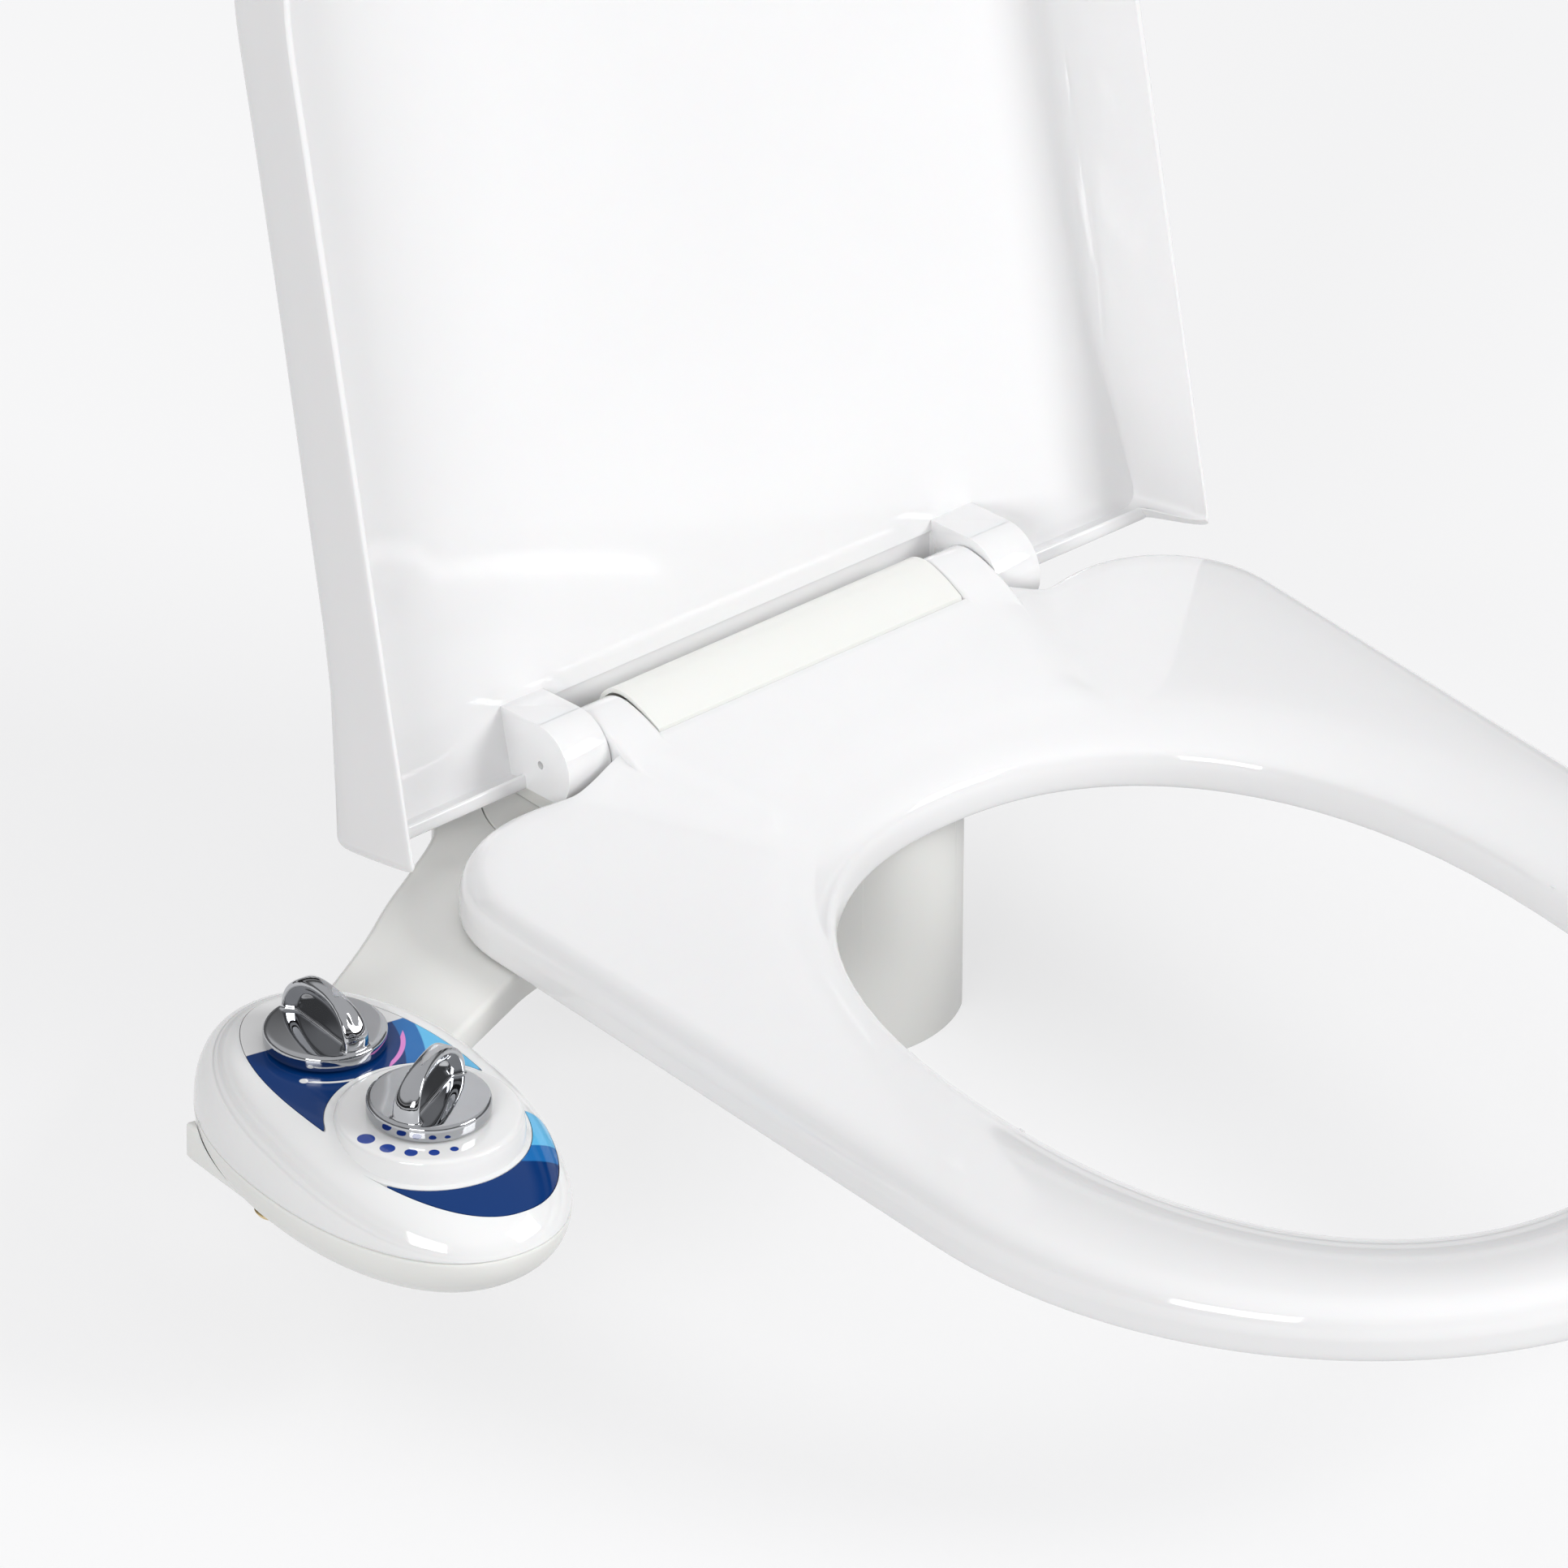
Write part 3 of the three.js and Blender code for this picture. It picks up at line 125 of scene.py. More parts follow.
guard = Sizes(half_width=31, front=76, side=65, bottom=-85, top=-6.5, wall=2.2, middle_rise=9,
              side_rise=2.6, corner=3.5)


def shifted(x=0.0, y=0.0, z=0.0):
    return Matrix.Translation((x * MM, y * MM, z * MM))


def turned(angle, axis):
    return Matrix.Rotation(radians(angle), 4, axis)


SEAT_FRAME = shifted(z=HINGE_HEIGHT) @ turned(seat.tilt, "X")
LID_FRAME = shifted(z=HINGE_HEIGHT) @ turned(-lid.open_angle, "X")
PANEL_FRAME = shifted(panel.x, panel.y) @ turned(panel.turn, "Z")


# ---- mesh helpers
def mesh_object(name, points, faces):
    mesh = bpy.data.meshes.new(name)
    mesh.from_pydata([(x * MM, y * MM, z * MM) for x, y, z in points], [], faces)
    form = bmesh.new()
    form.from_mesh(mesh)
    bmesh.ops.remove_doubles(form, verts=form.verts, dist=1e-6)
    bmesh.ops.recalc_face_normals(form, faces=form.faces)
    form.to_mesh(mesh)
    form.free()
    return add_object(name, mesh)


def loft(name, loops, ring=False):
    """Skins a stack of matching loops, capped at both ends or closed into a ring."""
    count, total = len(loops[0]), len(loops)
    faces = []
    for band in range(total if ring else total - 1):
        low, high = band * count, (band + 1) % total * count
        faces += [(low + i, low + (i + 1) % count, high + (i + 1) % count, high + i) for i in range(count)]
    if not ring:
        faces += [tuple(range(count)), tuple(range((total - 1) * count, total * count))]
    return mesh_object(name, [point for loop in loops for point in loop], faces)


def at_height(points, z):
    return [(x, y, z) for x, y in points]


def prism(name, points, low, high):
    return loft(name, [at_height(points, low), at_height(points, high)])


def along_x(name, profile, *ends):
    x0, x1 = sorted(ends)
    return loft(name, [[(x0, y, z) for y, z in profile], [(x1, y, z) for y, z in profile]])


def quarter(steps):
    """Angles from nothing to a quarter turn."""
    return [pi / 2 * i / steps for i in range(steps + 1)]


def arc(cx, cy, radius, start, end, count):
    """Points of an arc, angles in degrees."""
    angles = [radians(start + (end - start) * i / count) for i in range(count + 1)]
    return [(cx + radius * cos(a), cy + radius * sin(a)) for a in angles]


def curve(start, *steps, count=12):
    """Points of a chain of quadratic or cubic Bezier steps; the start isn't repeated."""
    points = [start]
    for step in steps:
        ends = [Vector(points[-1]), *map(Vector, step)]
        for i in range(1, count + 1):
            t = i / count
            level = ends
            while len(level) > 1:
                level = [a.lerp(b, t) for a, b in zip(level, level[1:])]
            points.append(tuple(level[0]))
    return points


def spline(points, count=8):
    """Points of a Catmull-Rom curve through the given ones."""
    points = [Vector(p) for p in points]
    found = []
    for i in range(len(points) - 1):
        a, b, c, d = (points[min(max(j, 0), len(points) - 1)] for j in (i - 1, i, i + 1, i + 2))
        for k in range(count):
            t = k / count
            found.append(tuple(
                (2 * b + (c - a) * t + (2 * a - 5 * b + 4 * c - d) * t ** 2
                 + (3 * b - a - 3 * c + d) * t ** 3) / 2))
    return found + [tuple(points[-1])]


def rounded_corners(points, radius, count=5, closed=True):
    """Rounds each corner of an outline; a third value of a point overrides the radius."""
    found = []
    total = len(points)
    for i, point in enumerate(points):
        own = point[2] if len(point) > 2 else radius
        here = Vector(point[:2])
        if own <= 0 or (not closed and i in (0, total - 1)):
            found.append(tuple(here))
            continue
        before = Vector(points[i - 1][:2]) - here
        after = Vector(points[(i + 1) % total][:2]) - here
        reach = min(own, before.length * 0.49, after.length * 0.49)
        start, end = here + before.normalized() * reach, here + after.normalized() * reach
        found.extend(curve(tuple(start), [tuple(here), tuple(end)], count=count))
    return found


def inset_loop(points, distance):
    """Moves each side of a counter-clockwise outline inwards by the same distance."""
    found = []
    for i, point in enumerate(points):
        here = Vector(point)
        a = (here - Vector(points[i - 1])).normalized()
        b = (Vector(points[(i + 1) % len(points)]) - here).normalized()
        bisector = Vector((-(a.y + b.y), a.x + b.x)).normalized()
        stretch = max(0.5, -bisector.x * a.y + bisector.y * a.x)
        found.append(tuple(here + bisector * (distance / stretch)))
    return found


def rounded_plate(name, points, low, high, radius, steps=5, foot=0.0):
    """A plate with a rounded upper edge and, with foot, a rounded lower edge."""
    loops = []
    if foot:
        loops = [at_height(inset_loop(points, foot * (1 - sin(a))), low + foot * (1 - cos(a)))
                 for a in quarter(steps)[:-1]]
    loops.append(at_height(points, low + foot))
    loops += [at_height(inset_loop(points, radius * (1 - cos(a))), high - radius * (1 - sin(a)))
              for a in quarter(steps)]
    return loft(name, loops)


def oval(half_x, half_y, power=2.0, count=96, cx=0.0, cy=0.0):
    def swell(value):
        return copysign(abs(value) ** (2 / power), value)
    angles = [2 * pi * i / count for i in range(count)]
    return [(cx + half_x * swell(cos(a)), cy + half_y * swell(sin(a))) for a in angles]


def thread(radius, low, pitch, turns, groove):
    """Profile points of a thread that is cut as rings."""
    return [point for z in (low + i * pitch for i in range(turns)) for point in (
        (radius, z), (radius, z + pitch * 0.25), (radius - groove, z + pitch * 0.6))]


def revolve(name, profile, count=48, x=0.0, y=0.0):
    loops = [[(x + r * cos(2 * pi * i / count), y + r * sin(2 * pi * i / count), z)
              for i in range(count)] for r, z in profile]
    if profile[0] == profile[-1]:
        return loft(name, loops[:-1], ring=True)
    return loft(name, loops)


def turning(name, corners, count, steps=4):
    """A turned piece with rounded corners, given from the foot of its axis to the top."""
    return revolve(name, rounded_corners(corners, 1, steps, closed=False), count)


def rod(name, radius, low, high, count=32, x=0.0, y=0.0):
    return prism(name, oval(radius, radius, 2, count, x, y), low, high)


def rod_along_x(name, radius, reach, y=0.0, z=0.0, count=32):
    """A rod across the middle plane, with the same reach on both sides."""
    return along_x(name, [(y + a, z + b) for a, b in oval(radius, radius, 2, count)], -reach, reach)


def block(name, x0, x1, y0, y1, z0, z1):
    return prism(name, [(x0, y0), (x1, y0), (x1, y1), (x0, y1)], z0, z1)


def settle(piece):
    """Replaces a piece's mesh by what its modifiers make of it."""
    bpy.context.view_layer.update()
    graph = bpy.context.evaluated_depsgraph_get()
    mesh = bpy.data.meshes.new_from_object(piece.evaluated_get(graph))
    piece.modifiers.clear()
    piece.data = mesh
    return piece


def combine(piece, tools, operation):
    for tool in tools:
        change = piece.modifiers.new("boolean", "BOOLEAN")
        change.operation = operation
        change.solver = "MANIFOLD"
        change.object = tool
    settle(piece)
    for tool in tools:
        bpy.data.objects.remove(tool)
    return piece


def join(piece, *tools):
    return combine(piece, tools, "UNION")


def cut(piece, *tools):
    return combine(piece, tools, "DIFFERENCE")


def bevel(piece, width, segments, angle):
    change = piece.modifiers.new("bevel", "BEVEL")
    change.width = width * MM
    change.segments = segments
    change.limit_method = "ANGLE"
    change.angle_limit = radians(angle)
    change.use_clamp_overlap = True
    return settle(piece)


def melt(piece, voxel, rounds):
    """Turns a piece into one even skin with softly rounded edges."""
    remesh = piece.modifiers.new("remesh", "REMESH")
    remesh.mode = "VOXEL"
    remesh.voxel_size = voxel * MM
    smooth = piece.modifiers.new("smooth", "SMOOTH")
    smooth.iterations = rounds
    return settle(piece)


def moved(piece, matrix):
    piece.data.transform(matrix)
    return piece


def finish(piece, body, look, nodes, place=None, crease=32):
    """Places and shades a piece that stands for CAD nodes, hangs it on its body and hides those nodes; a look
    is a material and a slot name, and the slot name is not used.
    """
    material, slot = look
    mesh = piece.data
    if place is not None:
        mesh.transform(place)
    mesh.materials.clear()
    mesh.materials.append(material)
    mesh.shade_smooth()
    mesh.set_sharp_from_angle(angle=radians(crease))
    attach(piece, body)
    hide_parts(*nodes)


# ---- materials
class Tree:
    """A material's nodes; sockets and plain numbers both go into its sums."""

    def __init__(self, name):
        self.material = bpy.data.materials.new(name)
        self.material.use_nodes = True
        self.nodes = self.material.node_tree.nodes
        self.links = self.material.node_tree.links
        self.shader = self.nodes["Principled BSDF"]
        self.place = self.nodes.new("ShaderNodeTexCoord").outputs["Object"]

    def link(self, source, target):
        if hasattr(source, "is_linked"):
            self.links.new(source, target)
        else:
            target.default_value = source

    def fill(self, node, values):
        """Links or sets inputs; their names have _ for each space."""
        for name, value in values.items():
            self.link(value, node.inputs[name.replace("_", " ")])

    def add(self, kind, **values):
        node = self.nodes.new("ShaderNode" + kind)
        self.fill(node, values)
        return node

    def set(self, **values):
        self.fill(self.shader, values)
        return self.material

    def math(self, kind, *values, clamp=False):
        node = self.add("Math")
        node.operation = kind
        node.use_clamp = clamp
        for value, socket in zip(values, node.inputs):
            self.link(value, socket)
        return node.outputs[0]

    def less(self, value, amount):
        return self.math("SUBTRACT", value, amount)

    def times(self, first, second):
        return self.math("MULTIPLY", first, second)

    def noise(self, scale, detail=3.0, roughness=0.5, stretch=None):
        place = self.add("Mapping", Vector=self.place, Scale=stretch).outputs[0] if stretch else self.place
        return self.add("TexNoise", Vector=place, Scale=scale, Detail=detail, Roughness=roughness).outputs[0]

    def span(self, value, low, high):
        """Spreads the middle of a noise over a range."""
        node = self.add("MapRange")
        for number, socket in zip((value, 0.35, 0.65, low, high), node.inputs):
            self.link(number, socket)
        return node.outputs[0]

    def blend(self, factor, first, second):
        node = self.add("Mix")
        node.data_type = "RGBA"
        self.fill(node, {"Factor": factor, "A": first, "B": second})
        return node.outputs["Result"]

    def bump(self, height, distance, strength, under=None):
        node = self.add("Bump", Height=height, Distance=distance, Strength=strength)
        if under is not None:
            self.link(under, node.inputs["Normal"])
        return node.outputs[0]


def rgba(color):
    return (*color, 1.0)


def tinted(color, share):
    return rgba([channel * share for channel in color])


def clouded(tree, color, share, scale):
    """A colour with faint clouds of a darker share of it."""
    return tree.blend(tree.span(tree.noise(scale, 4), 0, 1), tinted(color, share), rgba(color))


def moulded(tree, base, polish, wave, coat, texture=0.0):
    """Moulded plastic: uneven polish, a slow surface wave and, with texture, a fine grain."""
    normal = tree.bump(tree.noise(26, 2), wave, 0.35)
    if texture:
        normal = tree.bump(tree.noise(2600, 2), texture, 0.5, under=normal)
    tree.set(Base_Color=base, Roughness=tree.span(tree.noise(38, 5, 0.6), *polish), Normal=normal)
    tree.set(IOR=1.5, Coat_Weight=coat, Coat_Roughness=0.04)
    return tree.set(Subsurface_Weight=0.06, Subsurface_Scale=0.004)


def plastic(name, color, gloss, coat=0.0, texture=0.0):
    tree = Tree(name)
    return moulded(tree, clouded(tree, color, 0.985, 9), (gloss * 0.92, gloss * 1.12), 0.00012, coat, texture)


def metal(name, color, low, high, grain=0.0, stretch=(1, 1, 1)):
    tree = Tree(name)
    rough = tree.span(tree.noise(110, 5, 0.6), low, high)
    tree.set(Base_Color=clouded(tree, color, 0.94, 60), Roughness=rough, Metallic=1.0)
    if grain:
        tree.set(Normal=tree.bump(tree.noise(700, 3, 0.6, stretch), grain, 0.4))
    return tree.material


def rubber_material():
    tree = Tree("pale rubber")
    tone = clouded(tree, (0.66, 0.66, 0.64), 0.9, 240)
    tree.set(Base_Color=tone, Roughness=tree.span(tree.noise(400, 3), 0.55, 0.75))
    return tree.set(Normal=tree.bump(tree.noise(1800, 3), 0.00006, 0.6))


WHITE = (0.85, 0.85, 0.855)
IVORY = (0.85, 0.85, 0.82)
WARM_WHITE = (0.84, 0.84, 0.815)
CHROME = (0.50, 0.51, 0.53)
STEEL = (0.62, 0.62, 0.61)
BRASS = (0.72, 0.55, 0.28)
# Each look is a material and a slot name, which nothing uses.
gloss_white = plastic("gloss white plastic", WHITE, 0.075, coat=0.25), "seat_white"
ivory = plastic("ivory plastic", IVORY, 0.3, texture=0.00001), "cover_ivory"
bidet_white = plastic("warm white plastic", WARM_WHITE, 0.24, texture=0.000006), "bidet_white"
rubber = rubber_material(), "bumper_rubber"
chrome = metal("bright chrome", CHROME, 0.025, 0.06), "knob_chrome"
steel = metal("stainless steel", STEEL, 0.2, 0.34, grain=0.00002, stretch=(0.04, 1, 1)), "steel"
brass = metal("turned brass", BRASS, 0.2, 0.36, grain=0.00002, stretch=(1, 1, 8)), "brass"


# ---- seat
def smoothstep(value, low, high):
    t = min(1.0, max(0.0, (value - low) / (high - low)))
    return t * t * (3 - 2 * t)


def lerp(a, b, t):
    return a + (b - a) * t


def ring_outline(half_width, rear, front, corner, nose, steps, notch=None):
    """An outline with straight sides, round rear corners, an elliptic nose and a notch in its rear edge."""
    rear_steps, corner_steps, side_steps, nose_steps = steps
    straight_start, straight_end = rear + corner, front - nose
    corner_x = half_width - corner
    if notch:
        notch_half, notch_front = notch
        half = [(-notch_half * i / rear_steps, -notch_front) for i in range(rear_steps)]
        half += curve((-notch_half, -notch_front), [
            (-lerp(notch_half, corner_x, 0.35), -notch_front), (-lerp(notch_half, corner_x, 0.65), -rear),
            (-corner_x, -rear)])[:-1]
    else:
        half = [(-corner_x * i / rear_steps, -rear) for i in range(rear_steps)]
    half += arc(-corner_x, -straight_start, corner, 90, 180, corner_steps)
    half += [(-half_width, -lerp(straight_start, straight_end, i / side_steps))
             for i in range(1, side_steps)]
    half += [(-half_width * cos(a), -straight_end - nose * sin(a)) for a in quarter(nose_steps)]
    return half + [(-x, y) for x, y in reversed(half[1:-1])]


def chaikin(points, rounds, closed):
    """Cuts the corners of a line of points until it is smooth."""
    for _ in range(rounds):
        pairs = zip(points, points[1:] + points[:1]) if closed else zip(points, points[1:])
        found = []
        for a, b in pairs:
            found.append([lerp(u, v, 0.25) for u, v in zip(a, b)])
            found.append([lerp(u, v, 0.75) for u, v in zip(a, b)])
        points = found if closed else [points[0], *found[1:-1], points[-1]]
    return points


MIDDLE_Y = -(opening.rear + opening.front) / 2


def from_middle(x, y):
    """Direction and distance of a point from the middle of the opening."""
    reach = hypot(x, y - MIDDLE_Y)
    return x / reach, (y - MIDDLE_Y) / reach, reach


def opening_reach(dx, dy):
    """Distance from the middle of the opening to its edge in a direction."""
    half_length = (opening.front - opening.rear) / 2
    total = abs(dx / opening.half_width) ** opening.fullness + abs(dy / half_length) ** opening.fullness
    return total ** (-1 / opening.fullness)


def seat_section(x, y):
    """From the outer wall's foot over the top to the opening, and back along the underside."""
    ray_x, ray_y, reach = from_middle(x, y)
    inner, wall, dish, drop = opening_reach(ray_x, ray_y), seat.wall, seat.dish, seat.dish_drop
    notched = smoothstep(y, -seat.notch_front - 1, -seat.notch_front) * (
        1 - smoothstep(abs(x), seat.notch_half, seat.half_width - seat.corner))
    raised = notched * (1 - smoothstep(abs(x), hinge.seat_knuckle - 10, hinge.lid_knuckle + 4))
    rise, hang = raised * seat.rear_rise, raised * seat.rear_hang
    crown, foot, floor = seat.crown + rise, seat.crown + rise * 0.3, seat.underside
    dish_floor = seat.crown - drop
    radius = lerp(seat.edge, seat.rear_edge, notched)
    inside = max(radius, wall)
    edge = [(reach + hang - radius * (1 - cos(a)), crown - radius * (1 - sin(a))) for a in quarter(3)]
    profile = [
        (reach - 1.2, floor), (reach, floor + 1.5), (reach, crown - radius - 2.5), *edge,
        (inner + dish, foot), (inner + dish * 0.62, seat.crown - drop * 0.2),
        (inner + dish * 0.3, seat.crown - drop * 0.62), (inner + 4, dish_floor),
        (inner + 1.2, dish_floor - 2.6), (inner, dish_floor - 7), (inner, floor + 1.5), (inner + 1.2, floor),
        (inner + wall, floor), (inner + wall + 1, dish_floor - wall - 3),
        (inner + dish, foot - wall - 1), (reach - inside - 2, crown - wall - 1),
        (reach - wall - 1, crown - max(radius, wall + 3)), (reach - wall, floor),
    ]
    return [(ray_x * d, MIDDLE_Y + ray_y * d, z) for d, z in chaikin(profile, 2, True)]


# Places are given by their distances to the left of the middle and in front of the hinge line.
REAR_BUMPER = (138, 130)
FRONT_BUMPER = (103, 399)
BUMPER_SPOTS = [(f"{row}_{side}", sign * x, front) for row, (x, front) in (
    ("rear", REAR_BUMPER), ("front", FRONT_BUMPER)) for side, sign in SIDES]
RIB_FRONTS = (200, 270, 340)


def seat_arm(side):
    inner = hinge.cover_half + hinge.side_gap
    r = hinge.seat_radius
    profile = curve((-1.5, r), [(-16, r - 1), (-36, seat.crown + 3)])
    profile += [(-36, seat.underside + 6), (-seat.notch_front - 2, seat.underside + 4)]
    profile += arc(0, 0, r, -104, 90, 28)
    return bevel(along_x("seat_arm", profile, side * inner, side * hinge.seat_knuckle), 2, 5, 50)


def make_seat():
    outline = ring_outline(seat.half_width, seat.rear, seat.front, seat.corner, seat.nose, (40, 14, 10, 34),
                           (seat.notch_half, seat.notch_front))
    ring = loft("seat_ring_shell", [seat_section(x, y) for x, y in outline], ring=True)
    roof = seat.crown - seat.wall
    ribs = [rod("boss", seat.boss, seat.underside, roof, x=x, y=-front) for _, x, front in BUMPER_SPOTS]
    inner = opening.half_width + seat.wall / 2
    for front in RIB_FRONTS:
        along = max(0, front - (seat.front - seat.nose)) / seat.nose
        outer = seat.half_width * sqrt(1 - along ** 2) - seat.wall / 2
        for x0, x1 in ((inner, outer), (-outer, -inner)):
            ribs.append(block("rib", x0, x1, -front - seat.rib, -front + seat.rib,
                              seat.underside + 5, roof - 4))
    join(ring, *ribs, seat_arm(1), seat_arm(-1))
    cut(ring, rod_along_x("bore", hinge.pin + RUN_FIT, hinge.lid_knuckle))
    finish(ring, "seat", gloss_white, ["seat_ring"], SEAT_FRAME)


def make_seat_bumpers():
    for spot, x, front in BUMPER_SPOTS:
        drop = HINGE_HEIGHT + seat.underside - front * sin(radians(seat.tilt))
        top = seat.underside - SEAT_FIT
        depth = drop - 0.5 - SEAT_FIT
        pad = rounded_plate(f"seat_pad_{spot}", oval(10, 17, 2.6, 56), 0, depth, 2, foot=0.5)
        place = SEAT_FRAME @ shifted(x, -front, top) @ turned(180, "X")
        finish(pad, "seat", rubber, [f"seat_bumper_{spot}"], place)


make_seat()
make_seat_bumpers()


# ---- lid
def lid_section(x, y):
    """From the middle of the inner face, over the rim, to the middle of the outer face."""
    ray_x, ray_y, _ = from_middle(x, y)
    broad = lerp(0.06, 1, smoothstep(-y, lid.rear, 60))
    waist = lid.top - lid.shoulder_drop
    side = seat.half_width + lid.overhang
    lip = lerp(lid.rear_step, lid.rear_lip, smoothstep(abs(x), hinge.lid_knuckle - 4, hinge.lid_knuckle))
    at_rear = smoothstep(y, 2, 8) * (1 - smoothstep(abs(x), side - 4.5, side - 0.5))
    rim = lerp(lid.rim, lip, at_rear)
    square = smoothstep(y, -60, 4)

    def outer(z):
        return lid.draft * lerp(1, 0.2, square) * (z - lid.rim) / (waist - 2 - lid.rim)

    def shoulder(inward, start=lid.wall):
        return start + (inward - lid.wall) * broad

    def brow(inward):
        return shoulder(inward, lerp(lid.wall, 0.9, square))

    top, wall, thick = lid.top, lid.wall, 2.6 * at_rear
    wall_top = max(waist - 2, rim + 1.6)
    middle = (rim + wall_top) / 2
    profile = [
        (lid.shoulder + 60, top - wall), (shoulder(lid.shoulder + 3), top - wall - lid.dome),
        (shoulder(lid.draft + wall + 9), top - wall - 1.8),
        (shoulder(lid.draft + wall + 3), max(rim + 1.2, waist - wall + 0.5)),
        (outer(middle) + wall - 0.5 + thick, middle), (outer(rim) + wall - 1 + thick, rim + 0.4),
        (outer(rim) + wall - 1.5 + thick, rim), (outer(rim) + 0.9, rim), (outer(rim + 1), rim + 1),
        (outer(middle), middle),
        (outer(wall_top), wall_top), (brow(lid.draft + 3.5), max(waist + 3, wall_top + 1)),
        (brow(lid.shoulder * 0.5), waist + lid.shoulder_drop * 0.68), (brow(lid.shoulder), top - 0.9),
        (lid.shoulder + 60, top + 0.6),
    ]
    return [(x - ray_x * d, y - ray_y * d, z) for d, z in chaikin(profile, 2, False)]


def lid_block(side):
    inner = hinge.seat_knuckle + hinge.side_gap
    r = hinge.lid_radius
    face = lid.top - lid.wall + 1
    profile = [(-r - 3, face), (-r, -2)]
    profile += arc(0, 0, r, 180, 331, 30)
    profile += [(-lid.rear - 1, lid.rear_lip), (-lid.rear - 1, face)]
    return bevel(along_x("lid_block", profile, side * inner, side * hinge.lid_knuckle), 0.7, 3, 30)


def make_lid():
    outline = ring_outline(
        seat.half_width + lid.overhang, lid.rear, seat.front + lid.overhang, lid.corner,
        seat.nose + lid.overhang, (90, 16, 12, 36))
    sections = [lid_section(x, y) for x, y in outline]
    shell = loft("lid_shell", [list(loop) for loop in zip(*sections)])
    join(shell, lid_block(1), lid_block(-1))
    # The recess over the hinge shows as a grey band behind the cover when the lid is up.
    half, front, rear = hinge.seat_knuckle + hinge.side_gap - 0.4, lid.recess_front, lid.recess_rear
    face = lid.top - lid.wall
    floor = face + lid.recess_depth
    recess = along_x("recess", [(-front, face - 4), (0.3 - front, face), (-4, floor), (rear, floor),
                                (rear, face - 4)], -half, half)
    cut(shell, recess, rod_along_x("bore", hinge.pin + RUN_FIT, hinge.lid_knuckle - 4),
        rod_along_x("eye", lid.eye, hinge.lid_knuckle + 1, count=20))
    finish(shell, "lid", gloss_white, ["lid"], LID_FRAME)


def make_lid_bumpers():
    top = lid.top - lid.wall - lid.dome - SEAT_FIT
    bottom, r = seat.crown + 0.8, 6.5
    x, front = FRONT_BUMPER
    for side, sign in SIDES:
        pad = turning(f"lid_pad_{side}", [
            (0, bottom, 0), (r, bottom, 1.6), (r, top - 3, 1), (r + 2, top, 0.4), (0, top, 0)], 32)
        finish(pad, "lid", rubber, [f"lid_bumper_{side}"], LID_FRAME @ shifted(sign * x, -front))


make_lid()
make_lid_bumpers()


# ---- hinge and bolts
def make_hinge_cover():
    line = spline(COVER_LINE, 8) + [*COVER_FLANGE]
    inner = []
    for i, point in enumerate(line):
        ahead = Vector(line[min(i + 1, len(line) - 1)]) - Vector(line[max(i - 1, 0)])
        ahead.normalize()
        inner.append((point[0] - ahead.y * hinge.cover_wall, point[1] + ahead.x * hinge.cover_wall))
    profile = [(y, z + HINGE_HEIGHT) for y, z in line + inner[::-1]]
    cover = along_x("hinge_cover_shell", profile, -hinge.cover_half, hinge.cover_half)
    bevel(cover, 0.75, 4, 40)
    finish(cover, "base", ivory, ["hinge_cover"])


POCKET_PLACES = (-32, 0, 32)
POCKET_HALF = 13


def make_hinge_base():
    half, front, rear, r = hinge.foot_half, hinge.foot_front, hinge.foot_rear, hinge.body_radius
    outline = rounded_corners([(-half, -front), (half, -front), (half, rear), (-half, rear)], 8, 8)
    top, half_body = hinge.foot_top, hinge.cover_half - 3
    base = rounded_plate("hinge_foot", outline, plate.height + SEAT_FIT, top, 1.5, 4)
    spine = [(r, top - 1), *arc(0, HINGE_HEIGHT, r, 0, 180, 28), (-r, top - 1)]
    body = along_x("hinge_spine", spine, -half_body, half_body)
    cut(body, rod_along_x("bore", hinge.pin + RUN_FIT, half_body + 1, 0, HINGE_HEIGHT),
        *[block("pocket", x - POCKET_HALF, x + POCKET_HALF, -r - 1, r - 3, top + 2, HINGE_HEIGHT - 8)
          for x in POCKET_PLACES])
    join(base, body, rod_along_x("core", hinge.pin + 1, 44, 0, HINGE_HEIGHT))
    for _, x in BOLT_PLACES:
        cut(base, rod("shank", bolt.way, 0, top + 1, x=x),
            rod("head", bolt.head + SEAT_FIT, top - bolt.head_height - SEAT_FIT, top + 1, 40, x))
    finish(base, "base", ivory, ["hinge_base"])


def bolt_profile():
    top, r, head = hinge.foot_top, bolt.radius, bolt.head
    low, high, shoulder = (top - reach for reach in (bolt.length, bolt.thread_end, bolt.head_height))
    turns = int((high - low - 1.2) / bolt.pitch)
    return [(0, low), (r - 0.9, low), *thread(r, low + 1.2, bolt.pitch, turns, bolt.groove), (r, high),
            (r, shoulder), (head, shoulder), (head, top - 1.1), (head - 0.4, top - 0.35), (head - 1, top),
            (0, top)]


def make_bolts():
    for side, x in BOLT_PLACES:
        screw = revolve(f"bolt_{side}", bolt_profile(), 32)
        cut(screw, block("slot", -1, 1, -10, 10, hinge.foot_top - 1.6, hinge.foot_top + 1))
        finish(screw, "base", steel, [f"seat_bolt_{side}"], shifted(x))
        top, bottom, hole, r = washer.top, washer.top - washer.height, bolt.way, washer.radius
        section = rounded_corners([(hole, bottom, 0.3), (r, bottom, 0.8), (r, top - 3, 0.8),
                                   (r - 4, top, 0.8), (hole, top, 0.3)], 0.6, 4)
        ring = revolve(f"washer_{side}", section + section[:1], 48, x=x)
        finish(ring, "base", rubber, [f"bolt_washer_{side}"])
        make_wing_nut(side, x, bottom - SEAT_FIT)


